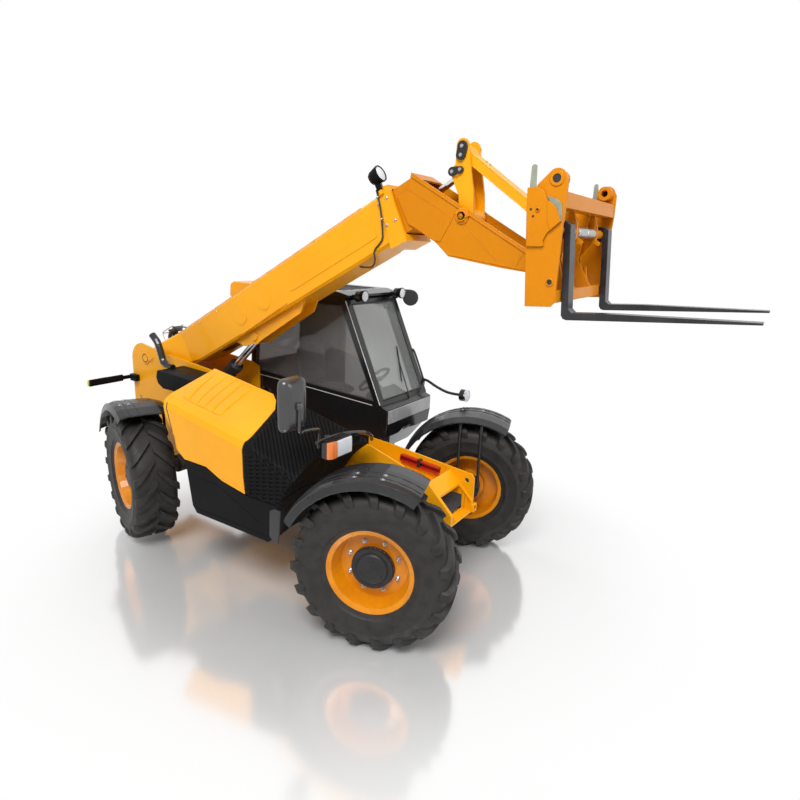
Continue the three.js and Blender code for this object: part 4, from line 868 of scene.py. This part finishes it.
def boom_nose_details():
    """Seams, folds and weld beads on the inner boom's nose, and its pivot pin heads."""
    kit = Kit(BOOM)
    welds = Kit(BOOM)
    pins = Kit(BOOM)
    for side in (-1, 1):
        y = NOSE_SIDE * side
        band = [(3932, -337), (3990, -363), (3792, -487), (3761, -461)]
        kit.prism(band, y - side, y + 5 * side)
        kit.prism([(3768, 56), (4377, -865), (4386, -855), (3777, 66)], y - side, y + 7 * side)
        for path in (
            [(3700, y, 0), (3932, y, -337), (4006, y, -367)],
            [(4034, y, -471), (4150, y, -803)],
            [(4366, y, -848), (4274, y, -910)],
        ):
            for one, two in zip(path, path[1:]):
                weld(welds, [one, two], 2.6)
        weld(welds, [(3808, y, -592), (4333, y, -969)], 5)
        pins.disc((4038, y - side, -398), (0, side, 0), 54, 13, 4, 36)
        pins.disc((4038, y + 12 * side, -398), (0, side, 0), 36, 10, 4, 32)
        pins.disc((4038, y + 22 * side, -398), (0, side, 0), 9, 3, 1, 12)
        pins.block(4052, 4092, y + 10 * side, y + 20 * side, -430, -412)
    kit.make("nose_panels", "boom_extension", DEEP_YELLOW, bevel=1.5)
    welds.make("nose_welds", "boom_extension", DEEP_YELLOW)
    pins.make("nose_pin_heads", "boom_extension", RIM_YELLOW, bevel=1.5)


def hose_run():
    """Two hoses over the boom's rear top, with their ends, guard and straps."""
    kit = Kit(BOOM)
    for y in (-28, 28):
        path = [(150, y, 112), (158, y, 156), (210, y, 192), (300, y, 200), (392, y, 160), (440, y, 112)]
        kit.tube(path, 21, 16, 14)
    kit.make("boom_hose_pair", "boom", HOSE, stands_for=["boom_hoses"])
    ends = Kit(BOOM)
    for y in (-28, 28):
        for u in (150, 440):
            fitting = [(0, -26), (25, -26), (25, -6), (23, 0), (23, 34), (20, 38), (0, 38)]
            ends.lathe(fitting, (u, y, 112), Z_AXIS, 18)
    for u in (150, 440):
        ends.block(u - 30, u + 30, -60, 60, BOOM_TOP + 2, BOOM_TOP + 22)
        for y in (-52, 0, 52):
            ends.bolt((u, y, BOOM_TOP + 22), Z_AXIS, 7)
    ends.make("boom_hose_ends", "boom", STEEL, bevel=1.5)
    guard = Kit(BOOM)
    for y in (-66, 66):
        guard.tube([(120, y, 84), (112, y, 160), (120, y, 226), (220, y, 232), (330, y, 226)], 5, 8, 12)
    guard.tube([(120, -66, 222), (120, 66, 222)], 5, 8, 12, False)
    guard.make("boom_hose_guard", "boom", STEEL)
    wrap = Kit(BOOM)
    for u in (215, 300):
        wrap.block(u - 9, u + 9, -56, 56, 166, 228)
    wrap.make("boom_hose_straps", "boom", SEAL_AND_SHADE, bevel=8)


# ---------------------------------------------------------------- lever, link and carriage


LEVER_SIDE, LINK_SIDE, CARRIAGE_SIDE, HOOK_SIDE = 100, 70, 575, 200


def lever_details():
    """The pin retainers on the lever's outer faces."""
    plates = Kit(LEVER)
    bolts = Kit(LEVER)
    for side in (-1, 1):
        y = LEVER_SIDE * side
        upper = [*arc(-56, 488, 40, -10, 190, 10), *arc(-66, 434, 38, 190, 350, 10)]
        lower = [*arc(-128, 318, 33, 90, 270, 10), *arc(-62, 330, 24, 270, 450, 10)]
        for outline in (upper, lower):
            plates.prism(outline, y, y + 22 * side)
        for x, z in ((-58, 490), (-64, 430), (-128, 318), (-64, 331)):
            bolts.bolt((x, y + 22 * side, z), (0, side, 0), 12)
    plates.make("lever_pin_retainers", "lever", BLACK_PAINT, bevel=2)
    bolts.make("lever_pin_bolts", "lever", STEEL)


def link_details():
    """Grease nipples along the tilt link, with its weld beads."""
    top = BOOM @ Vector((4196, 0, 32))
    end = CARRIAGE @ Vector((-10, 0, 322))
    local = placed(top, end - top)
    reach = (end - top).length / MM
    welds = Kit(local)
    for side in (-1, 1):
        for z in (20, -44):
            weld(welds, [(70, LINK_SIDE * side, z), (reach - 80, LINK_SIDE * side, z)], 3)
    welds.make("link_welds", "link", YELLOW)
    marks = Kit(local)
    for x in (150, 190, 610):
        if x < reach - 100:
            marks.disc((x, 30, 21), Z_AXIS, 9, 5, 1.5, 16)
            marks.disc((x, 30, 25), Z_AXIS, 5, 7, 2, 10)
    marks.make("link_nipples", "link", BRASS)


def carriage_details():
    """The overlay plates, latch bars, bore rings and gussets of the fork carriage."""
    over = Kit(CARRIAGE)
    latch = Kit(CARRIAGE)
    rings = Kit(CARRIAGE)
    hole_shade = Kit(CARRIAGE)
    outline = [
        (58, 469), (54, 356), (60, 123), (160, 119), (171, 128), (164, 154), (190, 200),
        (249, 244), (272, 262), (245, 336), (214, 372), (183, 386), (160, 447), (120, 471),
    ]
    fold = [(188, 254), (183, 386), (214, 372), (245, 336), (272, 262), (249, 244), (205, 212)]
    for side in (-1, 1):
        y = CARRIAGE_SIDE * side
        over.rings([
            [(x, y + 8 * side, z) for x, z in outline],
            [(x, y + 15 * side, z) for x, z in outline],
        ])
        over.rings([
            [(x, y + 14 * side, z) for x, z in fold],
            [(x + 3, y + 19 * side, z) for x, z in fold],
        ])
        if side < 0:
            bar = [(80, 590), (88, 600), (106, 600), (114, 590), (110, 460), (100, 400), (60, 397), (66, 440)]
            latch.prism(bar, y, y + 7 * side)
        else:
            bar = [(140, 580), (148, 590), (164, 590), (172, 580), (168, 440), (130, 440)]
            latch.prism(bar, y - 30 * side, y - 22 * side)
        plate = [(183, 414), (245, 390), (262, 376), (275, 350), (276, 260), (239, 265)]
        latch.prism(plate, y, y + 7 * side)
        pin_rings = ((237, 509, 45, 26, 0), (212, -96, 26, 17, 0), (128, 337, 15, 8, 15))
        for x, z, outer, inner, proud in pin_rings:
            base = y + proud * side
            ring = [(inner, -4), (outer, -4), (outer, 5), (outer - 3, 7), (inner, 7)]
            rings.lathe(ring, (x, base, z), (0, side, 0), 32)
            # A black disc in each bore: painted shade where the plate is open.
            hole_shade.disc((x, base, z), (0, side, 0), inner + 1, 1.5, 0.3, 24)
        # Two small black discs: painted shade in two small holes.
        for x, z in ((84, 342), (99, 300)):
            hole_shade.disc((x, y + 14.6 * side, z), (0, side, 0), 8, 1.2, 0.3, 18)
    over.make("carriage_overlays", "carriage", DEEP_YELLOW, bevel=2.5)
    latch.make("carriage_latches", "carriage", LATCH_PAINT, bevel=1.5)
    rings.make("carriage_rings", "carriage", DEEP_YELLOW)
    hole_shade.make("carriage_hole_shade", "carriage", SEAL_AND_SHADE, slot="plastic_black")
    inner = Kit(CARRIAGE)
    for side in (-1, 1):
        y = HOOK_SIDE * side
        hook = [
            (200, 320), (232, 330), (252, 300), (262, 262), (250, 225), (262, 180),
            (300, 150), (286, 128), (240, 150), (214, 200), (206, 260),
        ]
        inner.prism(hook, y, y + 8 * side)
        gusset = [(222, -206), (246, -206), (228, -150), (214, -80), (206, -10), (196, -10), (196, -206)]
        inner.prism(gusset, y + 8 * side, y + 18 * side)
    inner.make("carriage_hooks", "carriage", DEEP_YELLOW, bevel=2)
    sleeve = Kit(CARRIAGE)
    for y0, y1 in ((-190, -4), (4, 190)):
        long = y1 - y0
        outline = [(28, 0), (34, 0), (36, 3), (36, long - 3), (34, long), (28, long)]
        sleeve.lathe(outline, (235, y0, 216), Y_AXIS, 28)
    sleeve.make("carriage_shaft_sleeves", "carriage", STEEL)


# ---------------------------------------------------------------- cab and lamps


# The screen's outer face at its foot and head, as (x, z), and the right window's corners.
SCREEN_FOOT, SCREEN_HEAD = (610, 1432), (172, 2405)
SCREEN_LEAN = (SCREEN_FOOT[0] - SCREEN_HEAD[0]) / (SCREEN_HEAD[1] - SCREEN_FOOT[1])
SCREEN_INSET = 8
SIDE_WINDOW = [(-1070, 1560), (-1020, 2350), (110, 2350), (520, 1470)]
HEADLAMP_LEFT = (1084, 1176, 1450)
WORK_LAMP = (3498, -199, 205)


def on_screen(y, z, out=0.0):
    """A point on the windscreen's outer face."""
    return (SCREEN_FOOT[0] - (z - SCREEN_FOOT[1]) * SCREEN_LEAN - SCREEN_INSET + out, y, z)


def cab_panels():
    """The cab's belt trim, the pale line up the A-pillar's edge that is a painted highlight, the roof pane, a
    pale grey front panel that paints a highlight, and the mud flap.
    """
    trim = Kit(MACHINE)
    trim.tube([(-1110, 306, 1512), (-382, 306, 1479), (505, 306, 1427)], 4.5, 8, 30)
    # The line up the A-pillar's edge is no trim: it is a painted highlight.
    trim.tube([(598, 305, 1440), (392, 305, 1897), (166, 305, 2398)], 4.5, 8, 60, False)
    trim.make("cab_belt_trim_and_pillar_highlight", "chassis", PALE_TRIM_AND_HIGHLIGHT)
    pane = Kit(MACHINE)
    pane.plan([(-815, 425), (15, 425), (15, 1035), (-815, 1035)], 2433, 2438)
    pane.make("roof_pane", "chassis", CLEAR_GLASS, bevel=1)
    # A pale grey panel over the black cowl's front: a painted highlight for the bright ledge below the
    # screen.
    panel = Kit(MACHINE)
    panel.rings([
        [
            (680 + x, 330 + inset, 1262), (680 + x, 1118 - inset, 1262),
            (681 + x, 1118 - inset, 1392 - inset), (681 + x, 330 + inset, 1392 - inset),
        ]
        for x, inset in ((-1, 0), (4, 4), (6, 12))
    ])
    panel.make("cowl_highlight_panel", "chassis", PALE_COWL_HIGHLIGHT)
    flap = Kit(MACHINE)
    shape = [(300, 640), (430, 640), (470, 1010), (470, 1122), (300, 1122)]
    flap.rings([[(x, y, z) for y, z in shape] for x in (604, 612)])
    for y in (340, 430):
        flap.bolt((612, y, 1090), X_AXIS, 8)
    flap.make("cab_mud_flap", "chassis", SEAL_AND_SHADE, bevel=2)


def window_seals():
    """The rubber round the windscreen and the right window."""
    seal = Kit(MACHINE)
    low, high = 1476, 2362
    corners = [(376, low), (1084, low), (1084, high), (376, high), (376, low)]
    for (y0, z0), (y1, z1) in zip(corners, corners[1:]):
        middle = on_screen((y0 + y1) / 2, (z0 + z1) / 2, 2)
        seal.tube([on_screen(y0, z0, 2), middle, on_screen(y1, z1, 2)], 8, 8, 60, False)
    for a, b in zip(SIDE_WINDOW, [*SIDE_WINDOW[1:], SIDE_WINDOW[0]]):
        seal.tube([(a[0], 316, a[1]), (b[0], 316, b[1])], 7, 8, 60, False)
    seal.make("window_seals", "chassis", SEAL_AND_SHADE)


def windscreen_wiper():
    """The wiper's spindle, arm and blade."""
    wiper = Kit(MACHINE)
    wiper.disc(on_screen(805, 1440, -4), (1, 0, 0.45), 20, 22, 5, 20)
    wiper.tube([on_screen(805, 1440, 22), on_screen(800, 1560, 26), on_screen(818, 1757, 22)], 6, 8, 30)
    wiper.tube([on_screen(762, 1591, 15), on_screen(818, 1757, 19), on_screen(874, 1922, 15)], 5, 8, 30)
    wiper.tube([on_screen(762, 1591, 7), on_screen(818, 1757, 8), on_screen(874, 1922, 7)], 4, 6, 30)
    wiper.make("windscreen_wiper", "chassis", BLACK_PAINT)


def roof_lamps():
    """The two work lamps at the front of the roof, on their stays."""
    body = [(0, -60), (26, -58), (48, -36), (55, 0), (55, 12), (50, 14), (48, 9), (0, 8)]
    for tag, y in (("right", 404), ("left", 1057)):
        lamp = Kit(MACHINE)
        lamp.lathe(body, (312, y, 2450), X_AXIS, 28)
        lamp.tube([(180, y, 2440), (225, y, 2396), (262, y, 2400)], 7, 8, 20)
        lamp.block(160, 196, y - 26, y + 26, 2420, 2434)
        lamp.make(f"roof_lamp_{tag}", "chassis", BLACK_PLASTIC)
        glass = Kit(MACHINE)
        glass.lathe([(0, 8), (48, 8), (48, 13), (30, 18), (0, 20)], (312, y, 2450), X_AXIS, 28)
        glass.make(f"roof_lamp_lens_{tag}", "chassis", LENS)


def handle_and_mirror():
    """The grab handle by the door and the mirror inside the screen."""
    handles = Kit(MACHINE)
    handles.tube([(560, 1140, 1500), (566, 1172, 1520), (430, 1172, 1830), (420, 1140, 1850)], 11, 10, 20)
    handles.make("cab_grab_handle", "chassis", BLACK_PAINT, slot="paint_black")
    mirror = Kit(MACHINE)
    mirror.lathe([(0, -6), (60, -6), (66, 0), (62, 8), (0, 10)], (90, 1075, 2330), (-1, -0.4, -0.1), 28)
    mirror.tube([(90, 1075, 2345), (95, 1080, 2385), (95, 1080, 2430)], 5, 8, 20)
    mirror.make("inner_mirror", "chassis", BLACK_PLASTIC)


def side_mirror():
    """The right side mirror: a domed housing, its glass and the clamp on its arm."""
    shell = Kit(MACHINE)
    cy, cz, half_y, half_z = -1155, 1802, 125, 202
    rings = []
    for x, grow in (
        (806, 0.93), (812, 0.985), (826, 1.0), (842, 0.99), (858, 0.96), (874, 0.9), (888, 0.74), (896, 0.4),
    ):
        wide = half_y * (grow if grow > 0.9 else grow * 0.98)
        tall = half_z * (0.35 + 0.65 * grow)
        ring = [
            (x, cy + bulge(math.cos(a), 0.38) * wide, cz + bulge(math.sin(a), 0.26) * tall) for a in turns(44)
        ]
        rings.append(ring)
    shell.rings(rings)
    shell.tube([(845, cy, 1800), (900, cy, 1800)], 20, 12, 20, False)
    shell.tube([
        (906, cy, 1822), (906, cy, 1610), (902, -1110, 1600),
        (896, -980, 1582), (880, -905, 1545), (862, -900, 1405),
    ], 12, 10, 24)
    shell.disc((906, cy, 1776), Z_AXIS, 24, 48, 4, 20)
    shell.make("side_mirror_shell", "chassis", GREY_GLOSS, sharp=50, stands_for=["mirror_right"])
    glass = Kit(MACHINE)
    glass.rings([
        [
            (x, cy + bulge(math.cos(a), 0.5) * half_y * grow, cz + bulge(math.sin(a), 0.4) * half_z * grow)
            for a in turns(40)
        ]
        for x, grow in ((805, 0.9), (803, 0.86))
    ])
    glass.make("side_mirror_glass", "chassis", MIRROR)


def headlamps():
    """The lenses of the headlamps, the right indicator and the left lamp's bezel."""
    fluted = Kit(MACHINE)
    rows = []
    for i in range(25):
        y = -960 + 165 * i / 24
        out = 1106 + 2.5 * math.cos(i * math.pi)
        rows.append([(1096, y, 1402), (out, y, 1405), (out + 3, y, 1465), (out, y, 1525), (1096, y, 1528)])
    fluted.rings(rows)
    fluted.make("headlamp_lens_right", "chassis", LENS, bevel=1)
    amber = Kit(MACHINE)
    plan = ((1070, -1046), (1090, -1040), (1106, -1020), (1108, -966), (1094, -966), (1080, -1000))
    amber.rings([[(x, y, z) for x, y in plan] for z in (1400, 1415, 1450, 1500, 1528)])
    amber.make("indicator_lens_right", "chassis", AMBER, bevel=3)
    round_lens = Kit(MACHINE)
    round_lens.lathe([(0, -4), (58, -4), (58, 3), (40, 12), (0, 16)], HEADLAMP_LEFT, X_AXIS, 36)
    round_lens.make("headlamp_lens_left", "chassis", LENS)
    bezel = Kit(MACHINE)
    bezel.lathe([(55, -8), (65, -8), (66, 6), (62, 11), (56, 9)], HEADLAMP_LEFT, X_AXIS, 36)
    bezel.make("headlamp_bezel_left", "chassis", CHROME)


def work_lamp():
    """The lamp on the boom's collar, with its stay and lens."""
    work = Kit(BOOM)
    work.lathe(
        [(0, -50), (24, -50), (44, -40), (55, -20), (58, 0), (66, 44), (66, 60), (60, 62), (57, 50), (0, 48)],
        WORK_LAMP, X_AXIS, 32,
    )
    work.block(3474, 3516, -215, -188, 96, 176)
    work.tube([(3495, -214, 110), (3488, -218, 160), (3474, -214, 190)], 6, 8, 20)
    work.make("boom_work_lamp", "boom", BLACK_PLASTIC, bevel=2)
    work_lens = Kit(BOOM)
    work_lens.lathe([(0, 48), (57, 48), (57, 55), (38, 61), (0, 63)], WORK_LAMP, X_AXIS, 32)
    work_lens.make("boom_work_lamp_lens", "boom", LENS)


def tail_lamps():
    """The cases, caps and lenses on the rear light bar."""
    low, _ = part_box("rear_light_bar")
    back = (TO_MACHINE @ low).x
    for tag, side in SIDES:
        case = Kit(MACHINE)
        inner, outer = 420 * side, 812 * side
        outline = ((0, 1348), (6, 1338), (26, 1338), (30, 1400), (24, 1412), (4, 1408), (0, 1398))
        case.rings([
            [(back + x, y, z) for x, z in outline]
            for y in (inner, (inner + outer) / 2, outer)
        ])
        case.make(f"tail_case_{tag}", "chassis", BLACK_PLASTIC, bevel=4)
        cap = Kit(MACHINE)
        cap.block(back + 4, back + 27, outer - 2 * side, outer + 12 * side, 1344, 1406)
        cap.make(f"tail_cap_{tag}", "chassis", LIME_LENS, bevel=3)
    for tag, side in SIDES:
        for kind, near, far, look in (("lens", 600, 700, RED_LENS), ("indicator", 705, 785, AMBER)):
            lens = Kit(MACHINE)
            lens.block(back + 0.6, back + 9, near * side, far * side, 1394, 1410)
            lens.make(f"tail_{kind}_{tag}", "chassis", look, bevel=2)


TOWER_SIDE = 300
RAIL_NOSE = 1690


def tower_details():
    """The boom pivot's pin heads and keepers, the tower's bolts, and brackets, socket and strap."""
    pins = Kit(MACHINE)
    bolts = Kit(MACHINE)
    bores = Kit(MACHINE)
    at = TO_MACHINE @ on_plane(joint_at("boom_lift"))
    for side in (-1, 1):
        y = TOWER_SIDE * side
        pins.lathe([(50, -1), (66, -1), (66, 10), (62, 14), (50, 14)], (at.x, y, at.z), (0, side, 0), 40)
        pins.disc((at.x, y, at.z), (0, side, 0), 40, 16, 4, 32)
        # A black ring between the pin and its eye: painted shade in the recessed bore.
        bores.lathe([(39, -1), (52, -1), (52, 13), (39, 13)], (at.x, y, at.z), (0, side, 0), 40)
        keeper = [(30, -14), (128, -22), (128, 22), (30, 14)]
        pins.prism([(at.x + x, at.z + z) for x, z in keeper], y, y + 12 * side)
        bolts.bolt((at.x + 106, y + 12 * side, at.z), (0, side, 0), 12)
        for x, z in ((-2300, 900), (-2300, 1150), (-1100, 1480), (-1100, 900), (-1260, 700)):
            bolts.bolt((x, y, z), (0, side, 0), 15)
    pins.make("tower_pin_heads", "chassis", YELLOW, bevel=1.5)
    bores.make("tower_pin_bore_shade", "chassis", SEAL_AND_SHADE)
    arm = Kit(MACHINE)
    for side in (-1, 1):
        arm.block(-2398, -2296, 301 * side, 352 * side, 1338, 1408)
        for x in (-2370, -2324):
            arm.bolt((x, 352 * side, 1373), (0, side, 0), 10)
    arm.make("light_bar_brackets", "chassis", BLACK_PLASTIC, slot="steel_dark", bevel=3)
    tie = Kit(MACHINE)
    frame_ring = [(166, 704), (228, 704), (228, 776), (166, 776)]
    hollow = [(177, 716), (217, 716), (217, 764), (177, 764)]
    tie.rings([
        [(RAIL_NOSE + x, y, z) for y, z in outline]
        for x, outline in ((0, frame_ring), (24, frame_ring), (24, hollow), (2, hollow))
    ])
    tie.make("nose_tube_socket", "chassis", YELLOW, bevel=1.5)
    bolts.make("tower_bolts", "chassis", STEEL)
    strap = Kit(MACHINE)
    low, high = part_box("safety_strut")
    a, b = TO_MACHINE @ low, TO_MACHINE @ high
    mid = (a.x + b.x) / 2
    strap.block(mid - 16, mid + 16, a.y - 6, b.y + 3, a.z + 20, b.z - 10)
    strap.make("strut_strap", "chassis", SEAL_AND_SHADE, bevel=1.5)


# ---------------------------------------------------------------- seat


SEAT_MIDDLE = 730


def cushion(kit, spine, thick, half):
    """A crowned pad: soft, closed rings along a line from front to back."""
    rings = []
    count = len(spine)
    for i, (x, z) in enumerate(spine):
        ahead = Vector(spine[min(i + 1, count - 1)]) - Vector(spine[max(i - 1, 0)])
        ahead.normalize()
        up = Vector((-ahead.y, ahead.x))
        t = i / (count - 1)
        end = max(0.02, (1 - abs(2 * t - 1) ** 4)) ** 0.5
        ring = []
        for a in turns(28):
            c, s = math.cos(a), math.sin(a)
            across = bulge(c, 0.42) * half * (0.86 + 0.14 * end)
            dip = 0.16 * math.exp(-(abs(across) / half - 0.55) ** 2 / 0.01) if s > 0 else 0
            lift = bulge(s, 0.55) * thick * end * (1 - dip)
            ring.append((x + up.x * lift, SEAT_MIDDLE + across, z + up.y * lift))
        rings.append(ring)
    kit.rings(rings)


def seat():
    """The driver's seat: a cushion, a back and a head pad in woven cloth."""
    kit = Kit(MACHINE)
    low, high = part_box("seat_cushion")
    a, b = TO_MACHINE @ low, TO_MACHINE @ high
    seat_z = a.z + 62
    cushion(kit, [(b.x - 18 - 24 * i, seat_z + 6 * math.sin(i / 5)) for i in range(17)], 52, 222)
    back = [(a.x + 132 - 3.5 * i, a.z + 150 + 22 * i) for i in range(18)]
    cushion(kit, back, 46, 205)
    head = [(a.x + 78 - 3 * i, b.z - 128 + 15 * i) for i in range(9)]
    cushion(kit, head, 40, 120)
    made = kit.make("seat_pads", "chassis", SEAT_CLOTH, sharp=80, stands_for=["seat_cushion"])


for corner in CORNERS:
    fender_trim(corner)
bonnet_details()
grille_details()
skirt_details()
boom_details()
boom_nose_details()
hose_run()
lever_details()
link_details()
carriage_details()
cab_panels()
window_seals()
windscreen_wiper()
roof_lamps()
handle_and_mirror()
headlamps()
work_lamp()
tail_lamps()
side_mirror()
tower_details()
seat()
EDGE_ROUNDING = (
    ("chassis_frame", 3), ("boom_tower", 3), ("boom_outer", 4), ("boom_inner", 4), ("tilt_lever", 3),
    ("tilt_link", 4), ("fork_carriage", 2.5), ("fork_right", 4), ("fork_left", 4), ("cab_roof", 12),
    ("cab_frame", 6), ("cab_door", 5), ("bonnet", 5), ("engine_skirt", 6), ("engine_grille", 4),
    ("air_cleaner_box", 8), ("fuel_tank", 8), ("roof_air_unit", 8), ("rear_light_bar", 3),
    ("cab_cowl", 5), ("headlamp_right", 6), ("safety_strut", 4), ("console", 6), ("seat_base", 6),
)
for name, width in EDGE_ROUNDING:
    soften(name, width)


# ---------------------------------------------------------------- light and camera


CAMERA_PLACE = (3.1239, -4.193, 2.953)
CAMERA_ANGLES = (32.63, 14.85, 2.14)
CAMERA_LENS, CAMERA_SENSOR = 26.62, 36
FLOOR_DROP, FLOOR_SIZE = 0.0015, 120
FADE_FROM, FADE_TO = 1.7, 3.5
DOME_LOW, DOME_HIGH = 0.2, 0.78
WHITE = (1, 1, 1, 1)


def camera():
    """The camera: azimuth from the right side, pitch and roll in degrees."""
    data = bpy.data.cameras.new("camera")
    made = bpy.data.objects.new("camera", data)
    bpy.context.scene.collection.objects.link(made)
    data.sensor_width = CAMERA_SENSOR
    data.lens = CAMERA_LENS
    data.clip_end = 200
    azimuth, pitch, roll = (math.radians(a) for a in CAMERA_ANGLES)
    level = math.cos(pitch)
    back = Vector((math.sin(azimuth) * level, -math.cos(azimuth) * level, math.sin(pitch)))
    right = Vector((math.cos(azimuth), math.sin(azimuth), 0))
    up = back.cross(right)
    tilted = right * math.cos(roll) + up * math.sin(roll)
    turn = Matrix((tilted, back.cross(tilted), back)).transposed().to_4x4()
    made.matrix_world = Matrix.Translation(CAMERA_PLACE) @ turn
    bpy.context.scene.camera = made


def area_light(name, place, target, size, power, mirrored):
    """A round soft lamp, in metres and watts, that glossy surfaces mirror or not."""
    data = bpy.data.lights.new(name, "AREA")
    data.shape = "DISK"
    data.size = size
    data.energy = power
    made = bpy.data.objects.new(name, data)
    bpy.context.scene.collection.objects.link(made)
    made.location = place
    made.rotation_mode = "QUATERNION"
    made.visible_glossy = mirrored
    made.rotation_quaternion = (Vector(place) - Vector(target)).to_track_quat("Z", "Y")


def seen_as_background(tree):
    """One for what is seen straight, through glass or in a gloss, and nought for the light itself."""
    path = node(tree, "ShaderNodeLightPath")
    seen = path.outputs["Is Camera Ray"]
    for kind in ("Is Glossy Ray", "Is Transmission Ray"):
        either = node(tree, "ShaderNodeMath", operation="MAXIMUM")
        tree.links.new(seen, either.inputs[0])
        tree.links.new(path.outputs[kind], either.inputs[1])
        seen = either.outputs["Value"]
    return seen


def show(tree, share, plain, white, output):
    """Mixes a white over a plain shader by a share, and sends the result out."""
    mix = node(tree, "ShaderNodeMixShader")
    for source, socket in zip((share, plain.outputs[0], white.outputs[0]), mix.inputs):
        tree.links.new(source, socket)
    tree.links.new(mix.outputs[0], output.inputs["Surface"])


def world():
    """A soft dome for the light, brighter upwards, and plain white where it is seen."""
    made = bpy.data.worlds.new("studio")
    bpy.context.scene.world = made
    made.use_nodes = True
    tree = made.node_tree
    tree.nodes.clear()
    plain = node(tree, "ShaderNodeBackground", Color=WHITE)
    upward = node(tree, "ShaderNodeSeparateXYZ")
    tree.links.new(node(tree, "ShaderNodeTexCoord").outputs["Generated"], upward.inputs[0])
    dome = node(tree, "ShaderNodeMapRange", **{"To Min": DOME_LOW, "To Max": DOME_HIGH})
    tree.links.new(upward.outputs["Z"], dome.inputs["Value"])
    tree.links.new(dome.outputs["Result"], plain.inputs["Strength"])
    white = node(tree, "ShaderNodeBackground", Color=WHITE, Strength=1.0)
    show(tree, seen_as_background(tree), plain, white, node(tree, "ShaderNodeOutputWorld"))


def floor():
    """A pale glossy floor that fades to white away from the machine."""
    bpy.ops.mesh.primitive_plane_add(size=FLOOR_SIZE, location=(0, 0, -FLOOR_DROP))
    made = bpy.context.object
    made.name = "studio_floor"
    look = bpy.data.materials.new("studio_floor")
    look.use_nodes = True
    tree = look.node_tree
    surface = tree.nodes["Principled BSDF"]
    surface.inputs["Base Color"].default_value = (0.78, 0.78, 0.78, 1)
    surface.inputs["Metallic"].default_value = 0.42
    surface.inputs["Roughness"].default_value = 0.13
    surface.inputs["Specular IOR Level"].default_value = 1.0
    place = node(tree, "ShaderNodeTexCoord").outputs["Object"]
    away = node(tree, "ShaderNodeVectorMath", operation="LENGTH")
    tree.links.new(place, away.inputs[0])
    reach = {"From Min": FADE_FROM, "From Max": FADE_TO}
    fade = node(tree, "ShaderNodeMapRange", interpolation_type="SMOOTHSTEP", **reach)
    tree.links.new(away.outputs["Value"], fade.inputs["Value"])
    seen = node(tree, "ShaderNodeMath", operation="MULTIPLY")
    tree.links.new(seen_as_background(tree), seen.inputs[0])
    tree.links.new(fade.outputs["Result"], seen.inputs[1])
    white = node(tree, "ShaderNodeEmission", Color=WHITE, Strength=1.0)
    show(tree, seen.outputs["Value"], surface, white, tree.nodes["Material Output"])
    made.data.materials.append(look)


camera()
world()
floor()
area_light("key", place=(3.5, -8.0, 11.3), target=(0, 0, 1.2), size=6.4, power=1700, mirrored=True)
area_light("fill", place=(7.5, 1.5, 4.5), target=(0.5, 0, 1.5), size=4.0, power=150, mirrored=True)
area_light("back", place=(-6.0, 4.0, 5.5), target=(0, 0, 1.5), size=4.0, power=160, mirrored=False)

bpy.context.scene.view_settings.view_transform = "Standard"
